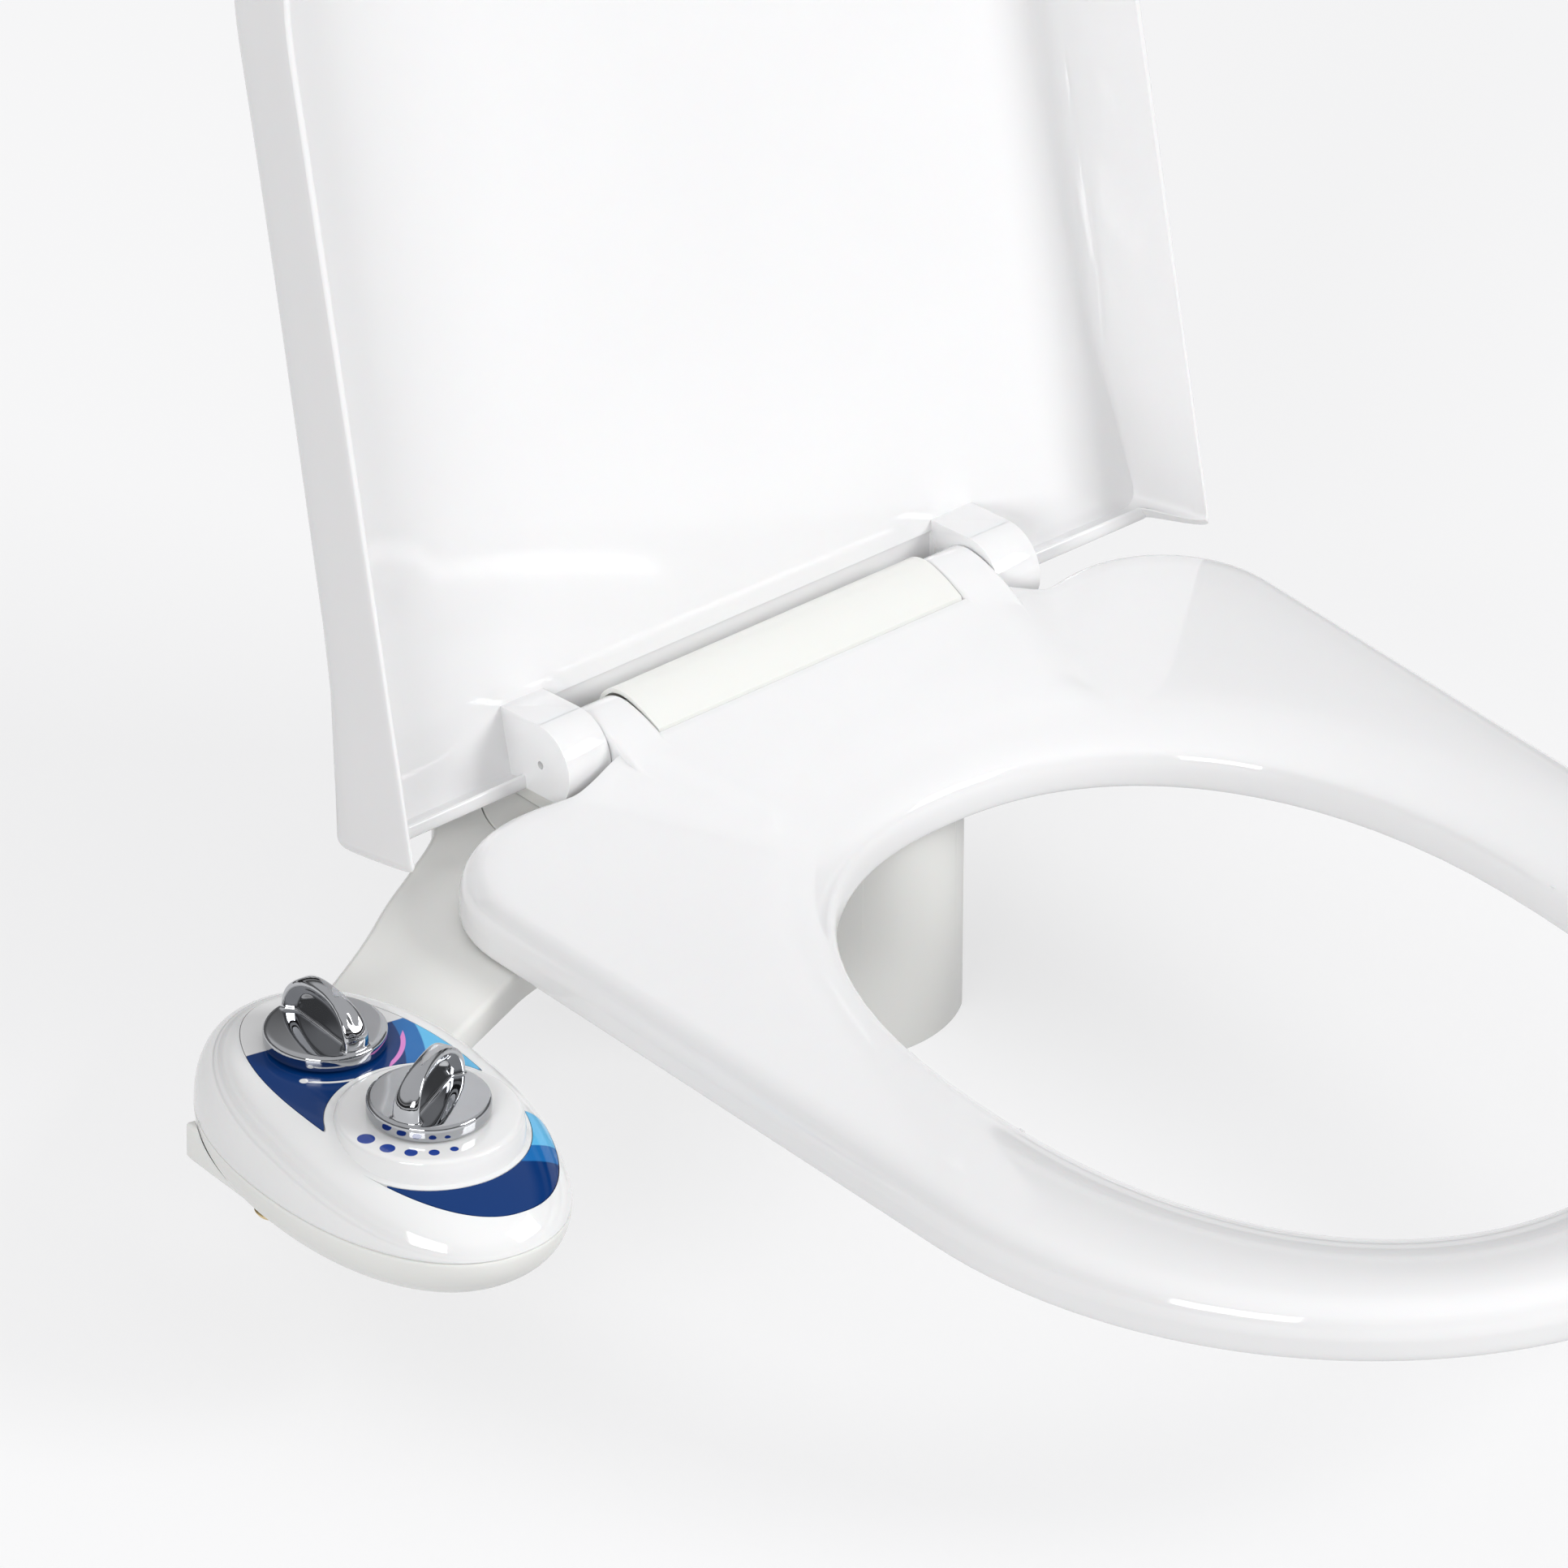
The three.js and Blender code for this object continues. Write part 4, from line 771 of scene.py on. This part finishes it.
def make_wing_nut(side, x, top):
    nut = turning(f"wing_nut_{side}_body", [
        (0, top - 14, 0), (9, top - 14, 1), (11.5, top, 0.8), (0, top, 0)], 48)
    outline = curve((-19, top - 20), [(-22, top - 8), (-16, top - 4)], [(0, top - 4), (16, top - 4)],
                    [(22, top - 8), (19, top - 20)], [(12, top - 22), (8, top - 12)],
                    [(0, top - 12), (-8, top - 12)], [(-12, top - 22), (-19, top - 20)], count=7)[:-1]
    wings = bevel(along_x("wings", outline, -2, 2), 0.9, 3, 40)
    join(nut, moved(wings, turned(90, "Z")))
    cut(nut, rod("bore", bolt.way, top - 30, top + 1))
    finish(nut, "base", bidet_white, [f"wing_nut_{side}"], shifted(x))


make_hinge_cover()
make_hinge_base()
make_bolts()


# ---- base plate and arm
ARM_END = panel.x + 20
ARM_REAR = ((-127, 37), (-140, 23), (-160, 10.5), (-182, -2), (-208, -18.5), (ARM_END, -42))
ARM_FRONT = ((ARM_END, -98), (-182, -70.5), (-165, 1 - plate.tongue_front), (-140, 1 - plate.tongue_front))


def plate_outline():
    front = degrees(asin(plate.web_front / plate.lobe))
    rear = degrees(asin(plate.web_rear / plate.lobe))
    half, tongue, lobe_x, lobe = plate.tongue_half, plate.tongue_front, plate.lobe_x, plate.lobe
    points = arc(half - 6, -tongue + 6, 6, -90, 0, 6)
    points += curve((half, -plate.web_front - 6),
                    [(half, -plate.web_front), (half + 8, -plate.web_front)], count=6)
    points += arc(lobe_x, 0, lobe, -front, rear, 44)
    points += spline([(-lobe_x - lobe * cos(radians(rear)), plate.web_rear), *ARM_REAR], 6)
    points += curve(ARM_FRONT[0], ARM_FRONT[1:2], ARM_FRONT[2:], count=8)
    points += [(-half - 4, -tongue + 1)]
    points += arc(-half + 6, -tongue + 6, 6, 180, 270, 6)
    found = [points[0]]
    for point in points[1:]:
        if dist(point, found[-1]) > 0.4:
            found.append(point)
    return found


def make_plate():
    outline = plate_outline()
    shell = rounded_plate("bidet_plate", outline, 0, plate.height, plate.edge, 5, foot=0.3)
    step = plate.height - disc.flange - SEAT_FIT
    cut(shell, *[rod("way", radius + disc.gap, low, plate.height + 1, 96, sign * plate.lobe_x)
                 for _, sign in SIDES for radius, low in ((disc.hub, -1), (disc.radius, step))])
    finish(shell, "base", bidet_white, ["base_plate_top", "base_plate_bottom"])


def make_disc(side, sign):
    top, r, hub = plate.height, disc.radius, disc.hub
    body = turning("mount_disc_" + side, [
        (0, SEAT_FIT, 0), (hub, SEAT_FIT, 0.8), (hub, top - disc.flange, 0.3), (r, top - disc.flange, 0.4),
        (r, top, 0.8), (0, top, 0)], 96)
    reach = (disc.slot_length - disc.slot_width) / 2
    x = sign * (BOLT_SPACING / 2 - plate.lobe_x)
    half_slot = disc.slot_width / 2
    slot = arc(x, reach, half_slot, 0, 180, 16) + arc(x, -reach, half_slot, 180, 360, 16)
    grips = [rod("grip", 2.2, top - 1.2, top + 1, 20, x, y) for x, y in oval(r - 5, r - 5, 2, 6)]
    cut(body, prism("slot", slot, -1, top + 1), *grips)
    finish(body, "base", bidet_white, [f"mounting_disc_{side}"], shifted(sign * plate.lobe_x))


make_plate()
for side, sign in SIDES:
    make_disc(side, sign)


# ---- nozzles, housing and guard
nozzle = Sizes(radius=6, x=11, tilt=28, length=58, stick_out=16, mouth_y=-42, mouth_z=-46)
housing = Sizes(half_width=27, front=54, rear=13, bottom=-46, flange=3.6, cheek_inner=26, cheek_outer=29.5,
                cheek_front=-62.4)
PIVOT_Y, PIVOT_Z, PIVOT_PIN, LUG_RADIUS = -59.5, -7, 1.8, 3.6


def nozzle_frame(x):
    return shifted(x, nozzle.mouth_y, nozzle.mouth_z) @ turned(-nozzle.tilt, "X")


def make_nozzle(name, sign, ports):
    r, front, back = nozzle.radius, -nozzle.stick_out, nozzle.length - nozzle.stick_out
    slim, groove = r - 0.4, r - 0.9
    body = turning(name + "_body", [
        (0, front, 0), (r - 1.6, front, 1.6), (slim, front + 3, 1.4), (slim, -7.4, 0.2),
        (groove, -7, 0.2), (groove, -6.2, 0.2), (slim, -5.8, 0.2), (slim, 4, 0.4), (r, 5, 0.4),
        (r, back, 0.8), (0, back, 0)], 64)
    half_flat = 3.2 + ports * 0.5
    flat = block("flat", -half_flat, half_flat, -r - 1, -r + 0.9, front + 3, front + 8)
    spouts = [moved(rod("spout", 0.8, 0, r + 2, 20),
                    shifted((i - (ports - 1) / 2) * 3, 0, front + 5.5) @ turned(90, "X"))
              for i in range(ports)]
    cut(body, flat, rod("way", 2.2, -9, back + 1), *spouts)
    finish(body, name, bidet_white, [name.replace("nozzle", "wash_nozzle")], nozzle_frame(sign * nozzle.x))


def make_housing():
    waist, half_y = (housing.front + housing.rear) / 2, (housing.front - housing.rear) / 2
    body = rounded_plate("nozzle_shroud", oval(housing.half_width, half_y, 5, 128, 0, waist),
                         SEAT_FIT, -housing.bottom, 4, 6)
    moved(body, turned(180, "X"))
    flange = rounded_plate("flange", oval(housing.half_width + 2.5, half_y + 5, 6, 128, 0, 4 - waist),
                           -SEAT_FIT - housing.flange, -SEAT_FIT, 0.4, 3, foot=0.8)
    front, rear, low = housing.cheek_front, 8 - housing.front, PIVOT_Z - 6.5
    cheek = rounded_corners([(front, low), (rear, low), (rear, -1.3), (front + 2.6, -1.3),
                             (front, -4.2)], 1.8, 6)
    join(body, flange, *[
        bevel(along_x("cheek", cheek, sign * housing.cheek_inner, sign * housing.cheek_outer), 0.4, 2, 40)
        for _, sign in SIDES])
    tools = [
        rod_along_x("pin_bore", PIVOT_PIN + 0.2, 40, PIVOT_Y, PIVOT_Z),
        rod_along_x("lug_way", LUG_RADIUS + 1, housing.cheek_inner, PIVOT_Y, PIVOT_Z)]
    for _, sign in SIDES:
        bore = rod("bore", nozzle.radius + RUN_FIT, -30, 44, 48)
        tools.append(moved(bore, nozzle_frame(sign * nozzle.x)))
        tools.append(rod("feed", 2, -20, 5, 24, sign * nozzle.x, -27))
    cut(body, *tools)
    finish(body, "base", bidet_white, ["nozzle_housing"])


def guard_arc(inset):
    """The guard's bowed face from above: an arc through its middle and its two sides."""
    bow = guard.front - guard.side
    radius = (guard.half_width ** 2 + bow ** 2) / (2 * bow)
    half = degrees(asin(guard.half_width / radius))
    return arc(0, radius - guard.front, radius - inset, -90 - half, -90 + half, 40)


def make_guard():
    outline = guard_arc(0) + guard_arc(guard.wall)[::-1]
    shell = bevel(prism("splash_guard", outline, guard.bottom, guard.top), 0.7, 3, 40)
    for vertex in shell.data.vertices:
        if vertex.co.z > (guard.top - 3) * MM:
            sideways = smoothstep(abs(vertex.co.x) / MM, 6, 27)
            vertex.co.z += lerp(guard.middle_rise, guard.side_rise, sideways) * MM
    corners = []
    for _, sign in SIDES:
        x, z, r = sign * guard.half_width, guard.bottom, guard.corner
        edge = [(x - sign * (r - r * sin(a)), z + r - r * cos(a)) for a in quarter(12)]
        edge = [(x + sign, z - 1), *edge, (x + sign, z + r)]
        corners.append(loft("corner", [[(across, y, up) for across, up in edge]
                                       for y in (-guard.front - 5, -guard.side + 10)]))
    cut(shell, *corners)
    lug = arc(PIVOT_Y, PIVOT_Z, LUG_RADIUS, -90, 90, 20)
    lug += [(5 - guard.front, PIVOT_Z + LUG_RADIUS), (5 - guard.front, PIVOT_Z - LUG_RADIUS)]
    join(shell, *[bevel(along_x("lug", lug, x - 2, x + 2), 0.4, 2, 50) for x in (20, -20)])
    cut(shell, rod_along_x("bore", PIVOT_PIN + RUN_FIT, 30, PIVOT_Y, PIVOT_Z))
    finish(shell, "guard", bidet_white, ["guard_gate"])


make_housing()
make_nozzle("rear_nozzle", 1, 2)
make_nozzle("front_nozzle", -1, 3)
make_guard()


# ---- control panel
NAVY = (0.001, 0.033, 0.16)
MID_BLUE = (0.012, 0.15, 0.44)
SKY_BLUE = (0.12, 0.50, 0.82)
PRINT_WHITE = (0.80, 0.80, 0.80)
PINK = (0.72, 0.25, 0.62)
DOT_BLUE = (0.002, 0.04, 0.30)
PANEL_WHITE = (0.84, 0.84, 0.84)
LABEL_FIT = 0.3
LABEL_THICK = 0.6


class Print(Tree):
    """A print laid out in the panel's own millimetres."""

    def __init__(self, name):
        super().__init__(name)
        mapping = self.add("Mapping", Vector=self.place, Location=(panel.x * MM, panel.y * MM, 0),
                           Rotation=(0, 0, radians(panel.turn)))
        mapping.vector_type = "TEXTURE"
        split = self.add("SeparateXYZ", Vector=mapping.outputs[0])
        self.x, self.y, self.z = (self.times(socket, 1 / MM) for socket in split.outputs)

    def edge(self, value, limit, soft=0.12):
        """1 where the value is below the limit, with a hair's width of blur."""
        return self.math("DIVIDE", self.less(limit + soft, value), 2 * soft, clamp=True)

    def reach(self, cx, cy):
        """Distance from a point of the panel."""
        dx, dy = self.less(self.x, cx), self.less(self.y, cy)
        return self.math("SQRT", self.math("ADD", self.times(dx, dx), self.times(dy, dy)))

    def dot(self, cy, radius, angle, size):
        """A dot at an angle on a circle about a point of the middle line."""
        angle = radians(angle)
        return self.edge(self.reach(radius * cos(angle), cy + radius * sin(angle)), size)

    def ring(self, cy, radius, width, start, end):
        """A mark along an arc about a point of the middle line, between two angles in degrees."""
        away = self.math("ABSOLUTE", self.less(self.reach(0, cy), radius))
        angle = radians((start + end) / 2)
        along = self.math("ADD", self.times(self.x, cos(angle)),
                          self.times(self.less(self.y, cy), sin(angle)))
        least = radius * cos(radians((end - start) / 2))
        return self.times(self.edge(away, width / 2), self.edge(self.less(0, along), -least))

    def layered(self, color, *layers):
        """A colour with inks over it, each where its mask is 1."""
        for mask, ink in layers:
            color = self.blend(mask, color, rgba(ink))
        return color

    def printed(self, color):
        """The clear film over a print: slight ripple and uneven polish."""
        self.set(Base_Color=color, Roughness=self.span(self.noise(60, 4), 0.08, 0.14))
        self.set(Normal=self.bump(self.noise(70, 2), 0.00005, 0.4))
        return self.set(IOR=1.5, Specular_IOR_Level=0.3)


def rear_print():
    """Navy with a fan of two blues and a wavy white field, and two arcs about the mode knob."""
    tree = Print("rear print")
    fan, radius = tree.reach(-52, 52), 26.2
    wave = tree.times(tree.math("SINE", tree.times(tree.x, 0.07)), 1.6)
    level = tree.math("ADD", tree.math("MULTIPLY_ADD", tree.x, 0.15, tree.y), wave)
    return tree.printed(tree.layered(
        rgba(SKY_BLUE), (tree.edge(fan, 88, 0.2), MID_BLUE), (tree.edge(fan, 81, 0.2), NAVY),
        (tree.edge(tree.less(0, level), -36, 0.2), PRINT_WHITE),
        (tree.ring(knob.rear_y, radius, 1.1, 222, 262), PRINT_WHITE),
        *[(tree.dot(knob.rear_y, radius, angle, 1.5), PRINT_WHITE) for angle in (218, 266)],
        (tree.ring(knob.rear_y, radius + 0.4, 1.7, 290, 336), PINK)))


def front_print():
    tree = Print("front print")
    reach = tree.reach(22, -12)
    return tree.printed(tree.layered(
        rgba(NAVY), (tree.edge(reach, 47.5, 0.2), MID_BLUE), (tree.edge(reach, 41, 0.2), SKY_BLUE)))


DOTS = ((183, 27.4, 3.1), (203, 27.2, 2.7), (221, 26.8, 2.3), (238, 26.2, 1.9), (254, 25.4, 1.5))


def dial_white():
    """The panel's white plastic with growing dots round the front dial."""
    tree = Print("panel white plastic")
    raised = tree.edge(tree.less(0, tree.z), 1 - dais.top, 0.2)
    dots = [(tree.times(tree.dot(knob.front_y, reach, angle, size), raised), DOT_BLUE)
            for angle, reach, size in DOTS]
    base = tree.layered(clouded(tree, PANEL_WHITE, 0.975, 9), *dots)
    return moulded(tree, base, (0.06, 0.09), 0.0001, coat=0.25)


def panel_loop(angle, inward, count=160):
    side = panel.side_inset * (1 - cos(angle)) + inward
    front = panel.front_inset * (1 - cos(angle)) ** 0.8 + inward
    half_length = panel.half_length - (side + front) / 2
    return oval(panel.half_width - side, half_length, 2.15, count, 0, (front - side) / 2)


def bulged(name, loop_of, rim, height, inward, steps):
    """Half of the panel's shell, or what lies within it, from the parting line to the far side."""
    way = copysign(1, height)
    loops = [at_height(loop_of(angle, inward), rim + height * sin(angle) - way * inward)
             for angle in quarter(steps)]
    if inward > 0:
        loops[0] = at_height(loop_of(0, inward), rim - way)
    elif inward == 0:
        loops[:1] = [at_height(loop_of(0, gap), rim + way * rise)
                     for gap, rise in ((0.45, 0), (0.1, 0.2), (0, 0.5))]
    else:
        loops[:0] = [at_height(loop_of(0, inward), rim - way * 10)]
    return loft(name, loops)


def dome(name, inward):
    return bulged(name, panel_loop, panel.parting, panel.top - panel.parting, inward, 26)


def dais_body(name, inward):
    low, high, r = panel.parting + 8, dais.top - inward, dais.radius - inward
    profile = curve((r + dais.flare, low), [(r + dais.flare * 0.4, high - 4), (r, high - 2.2)], count=8)
    profile += curve((r, high - 2.2), [(r - 0.1, high), (r - 2.4, high)], count=8)[1:]
    body = revolve(name, [(0, low), *profile, (0, high)], 160, 0, knob.front_y)
    within = prism("within", panel_loop(0, inward + 5), panel.parting - inward, panel.top + 20)
    return combine(body, [within], "INTERSECT")


def meet(first, second, radius):
    """Joins two lines of points at their shared corner with a rounded tip."""
    corner = first[-1]
    start = [p for p in first if dist(p, corner) > radius]
    end = [p for p in second if dist(p, corner) > radius]
    return start + curve(start[-1], [corner, end[0]], count=7)[1:-1] + end


# Each label fills the shell's outline, inset and shifted, on one side of a line across the panel
# and outside a ring round the dais. The line's place is its distance from the front knob.
LABELS = {"rear": Sizes(inset=panel.side_inset - 1.5, shift=0, side=1, line=13, ring=3.5, tip=3),
          "front": Sizes(inset=8, shift=4, side=-1, line=-8, ring=dais.flare + 0.8, tip=1.4)}


def label_outline(which, grow):
    own = LABELS[which]
    outer = [(x + own.shift, y) for x, y in panel_loop(0, own.inset - grow, 720)]
    keep_out = dais.radius + own.ring - grow
    limit = knob.front_y + own.line - own.side * grow

    def wanted(point):
        return (point[1] - limit) * own.side > 0 and dist(point, (0, knob.front_y)) > keep_out

    first = next(i for i, p in enumerate(outer) if wanted(p) and not wanted(outer[i - 1]))
    line = [p for p in outer[first:] + outer[:first] if wanted(p)]
    ends = [degrees(atan2(p[1] - knob.front_y, p[0])) % 360 for p in (line[-1], line[0])]
    inner = [line[-1], *arc(0, knob.front_y, keep_out, *ends, 120)[2:-2], line[0]]
    joined = [p for p in meet(line, inner, own.tip) if dist(p, line[0]) > own.tip]
    return joined + curve(joined[-1], [line[0], joined[0]], count=7)[1:-1]


def label_block(which, grow):
    return prism("label_block", label_outline(which, grow), panel.parting - 20, panel.top + 20)


def make_label(which, material):
    skin = combine(label_block(which, 0), [dome("over", 0)], "INTERSECT")
    cut(skin, dome("under", LABEL_THICK))
    if which == "rear":
        cut(skin, rod("hole", knob.radius - 8, 0, 60, 64, 0, knob.rear_y))
    skin.name = f"print_{which}"
    finish(skin, "base", (material, "label_print"), [f"label_{which}"], PANEL_FRAME)


def arm_ghost(grow):
    outline = inset_loop(plate_outline(), -grow)
    return moved(prism("arm_ghost", outline, -grow, plate.height + grow), PANEL_FRAME.inverted())


def make_panel_top():
    shell = join(dome("control_panel_top", 0), dais_body("dais", 0))
    hollow = join(dome("hollow", panel.wall), dais_body("dais_hollow", panel.wall))
    recesses = [cut(label_block(which, LABEL_FIT), dome("recess_floor", LABEL_THICK + LABEL_FIT))
                for which in LABELS]
    holes = [rod("spindle_hole", SPINDLE_HOLE, 0, 60, 32, 0, y) for y in (knob.rear_y, knob.front_y)]
    cut(shell, hollow, *recesses, *holes, arm_ghost(0.4))
    finish(shell, "base", (dial_white(), "seat_white"), ["panel_top"], PANEL_FRAME)


def bowl_loop(angle, inward):
    side = panel.half_width * 0.52 * (1 - cos(angle)) + inward
    end = panel.half_length * 0.42 * (1 - cos(angle)) + inward
    return oval(panel.half_width - side, panel.half_length - end, 2.15, 160)


def bowl(name, inward):
    return bulged(name, bowl_loop, panel.parting - SEAT_FIT, -panel.depth, inward, 22)


inlet = Sizes(x=-15, y=43, half_y=16, outer=41, bottom=-33, nipple=7, grip=5.5, drop=11)


def make_panel_bottom():
    shell = cut(bowl("control_panel_bottom", 0), bowl("hollow", panel.wall))
    way = rod("way", inlet.nipple - 2.5, -40, -12, 32, inlet.x, inlet.y)
    cut(shell, way, arm_ghost(0.4))
    finish(shell, "base", bidet_white, ["panel_bottom"], PANEL_FRAME)


def make_inlet():
    r, bottom = inlet.nipple, inlet.bottom
    edge = -inlet.x - r - 4
    profile = [(edge, panel.parting - 8),
               *curve((edge, bottom + 3), [(edge, bottom), (edge + 3, bottom)], count=6),
               *curve((r + 4 - inlet.x, bottom), [(inlet.outer - 4, bottom + 8), (inlet.outer, bottom + 14)]),
               (inlet.outer, panel.parting - 4)]
    body = moved(along_x("inlet_block", profile, inlet.y - inlet.half_y, inlet.y + inlet.half_y),
                 turned(90, "Z"))
    bevel(body, 1.6, 4, 50)
    cut(body, bowl("clear", -SEAT_FIT),
        rod("bore", r + SEAT_FIT, bottom - 1, bottom + inlet.grip + SEAT_FIT, 40, inlet.x, inlet.y),
        rod("way", r - 2.5, bottom + 1, 0, 32, inlet.x, inlet.y))
    finish(body, "base", bidet_white, ["inlet_housing"], PANEL_FRAME)


def make_inlet_nipple():
    r, bottom, low = inlet.nipple, inlet.bottom, inlet.bottom - inlet.drop
    inner, collar, pitch, turns = r - 2.6, r + 2.5, 1.4, 3
    profile = [(inner, low), (r - 0.8, low), *thread(r, low + 1.2, pitch, turns, 0.6),
               (r, low + 1.2 + turns * pitch), (r, bottom - 4), (collar - 0.4, bottom - 4),
               (collar, bottom - 3.6), (collar, bottom - 0.7), (collar - 0.4, bottom - 0.3),
               (r, bottom - 0.3), (r, bottom + inlet.grip), (inner, bottom + inlet.grip), (inner, low)]
    nipple = revolve("inlet_thread", profile, 64, inlet.x, inlet.y)
    finish(nipple, "base", brass, ["inlet_nipple"], PANEL_FRAME)


def knob_fin(centre_z):
    """A grip like half a disc: a round rim, dished flanks inside it and a dimple on each end.

    Its loops run from one flank's middle over the rim to the other's; web and rim are half
    thicknesses, and the dish ends at flank and the rim's rounding starts at rounding, as shares.
    """
    reach, rise, sink = knob.radius - 1.4, knob.fin - 1, 4.5
    web, rim_top, rim_foot, flank, rounding = 1.9, 3.2, 5.2, 0.66, 0.9
    half = [0.05 + 0.045 * i for i in range(19)]
    half += [rounding + (1 - rounding) * sin(a) for a in quarter(8)[1:-1]]
    loops = []
    for side, share in [(-1, s) for s in half] + [(0, 1)] + [(1, s) for s in half[::-1]]:
        loop = []
        for i in range(120):
            angle = 2 * pi * i / 120
            ahead, up = cos(angle), sin(angle)
            rim = lerp(rim_top, rim_foot, ahead * ahead if up > 0 else 1)
            past = max(share - rounding, 0) / (1 - rounding)
            thick = lerp(web, rim, smoothstep(share, flank, rounding)) * sqrt(max(1 - past * past, 0))
            lift = degrees(asin(min(abs(up), 1))) if up > 0 else 0
            dimple = exp(-((lift - 38) / 15) ** 2 - (thick / 2) ** 2) if share > rounding else 0
            size = share - 0.05 * dimple
            loop.append((side * thick, size * reach * copysign(abs(ahead) ** 0.88, ahead),
                         centre_z + size * copysign(abs(up) ** 0.88, up) * (rise if up > 0 else sink)))
        loops.append(loop)
    return loft("fin", loops)


def make_knob(name, y, seat_top, turn):
    low = seat_top + 0.5
    high, r = low + knob.thick, knob.radius
    base = turning(f"{name}_dial", [(0, low, 0), (r, low, 1.6), (r, high, 1.5), (0, high + 0.4, 0)], 128, 8)
    join(base, knob_fin(high + 1))
    melt(base, 0.4, 8)
    cut(base, rod("socket", SPINDLE_HOLE, low - 1, seat_top + 3.5, 32))
    place = PANEL_FRAME @ shifted(y=y) @ turned(turn, "Z")
    finish(base, f"{name}_control", chrome, [f"{name}_knob"], place, crease=50)


make_panel_top()
make_panel_bottom()
make_label("rear", rear_print())
make_label("front", front_print())
make_inlet()
make_inlet_nipple()
make_knob("mode", knob.rear_y, panel.top, 0)
make_knob("pressure", knob.front_y, dais.top, -61)

# Valves, spindles and pins hardly show: their CAD solids stay and get better materials.
for (material, _), *nodes in (
        (bidet_white, "mode_valve", "pressure_valve"), (brass, "mode_spindle", "pressure_spindle"),
        (steel, "hinge_pin_left", "hinge_pin_right", "guard_pin")):
    for node in nodes:
        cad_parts[node].material_slots[0].material = material


# ---- floor and light
FLOOR_HALF = 60
FLOOR_TONES = (0.57, 0.58)             # what light bounces from
SEEN_TONE, SEEN_GLOW = 0.28, 0.67      # what the camera and mirrors see
# name, place, width and height, watts
LAMPS = (("left_window", (-6.6, -3.6, 3.1), (3.4, 2.4), 296),
         ("right_window", (4.2, -5.8, 4.2), (3.6, 3.2), 358))
LAMP_TARGET = (0, -0.05, 0.15)
# Sine of the angle above the horizon, and brightness there.
SKY = ((0.0, 0.02), (0.05, 0.02), (0.07, 0.9), (0.15, 0.9), (0.17, 0.04), (0.32, 0.04), (0.34, 0.5),
       (0.41, 0.5), (0.43, 0.12), (0.5, 0.2), (0.62, 1.0), (1.0, 1.0))
SKY_STRENGTH = 0.68


def pale(level):
    return rgba((level, level, level + 0.002))


def floor_material():
    tree = Tree("pale floor")
    path = tree.add("LightPath").outputs
    seen = tree.math("MAXIMUM", path["Is Camera Ray"], path["Is Glossy Ray"])
    tone = tree.blend(tree.span(tree.noise(1.5, 2), 0, 1), *map(pale, FLOOR_TONES))
    tree.set(Base_Color=tree.blend(seen, tone, pale(SEEN_TONE)), Roughness=0.7, Specular_IOR_Level=0.2)
    return tree.set(Emission_Color=rgba((1, 1, 1.005)), Emission_Strength=tree.times(seen, SEEN_GLOW))


def make_floor():
    mesh = bpy.data.meshes.new("floor")
    mesh.from_pydata([(x * FLOOR_HALF, y * FLOOR_HALF, cad_low[2])
                      for x, y in ((-1, -1), (1, -1), (1, 1), (-1, 1))], [], [(0, 1, 2, 3)])
    mesh.materials.append(floor_material())
    add_object("floor", mesh)


def make_lamp(name, place, size, power):
    data = bpy.data.lights.new(name, "AREA")
    data.shape = "RECTANGLE"
    data.size, data.size_y = size
    data.energy = power
    back = Vector(place) - Vector(LAMP_TARGET)
    add_object(name, data).matrix_world = (
        Matrix.Translation(place) @ back.to_track_quat("Z", "Y").to_matrix().to_4x4())


def make_world():
    """Even pale light from above; nearer the horizon, light and dark bands give metal its contrast."""
    world = bpy.data.worlds.new("studio")
    world.use_nodes = True
    bpy.context.scene.world = world
    nodes, links = world.node_tree.nodes, world.node_tree.links
    split = nodes.new("ShaderNodeSeparateXYZ")
    links.new(nodes.new("ShaderNodeTexCoord").outputs["Generated"], split.inputs[0])
    ramp = nodes.new("ShaderNodeValToRGB")
    for _ in SKY[2:]:
        ramp.color_ramp.elements.new(0.5)
    for element, (at, level) in zip(ramp.color_ramp.elements, SKY):
        element.position = at
        element.color = (level, level, level * 1.01, 1)
    links.new(split.outputs["Z"], ramp.inputs[0])
    links.new(ramp.outputs[0], nodes["Background"].inputs["Color"])
    nodes["Background"].inputs["Strength"].default_value = SKY_STRENGTH


make_floor()
for lamp in LAMPS:
    make_lamp(*lamp)
make_world()
bpy.context.scene.view_settings.view_transform = "Standard"
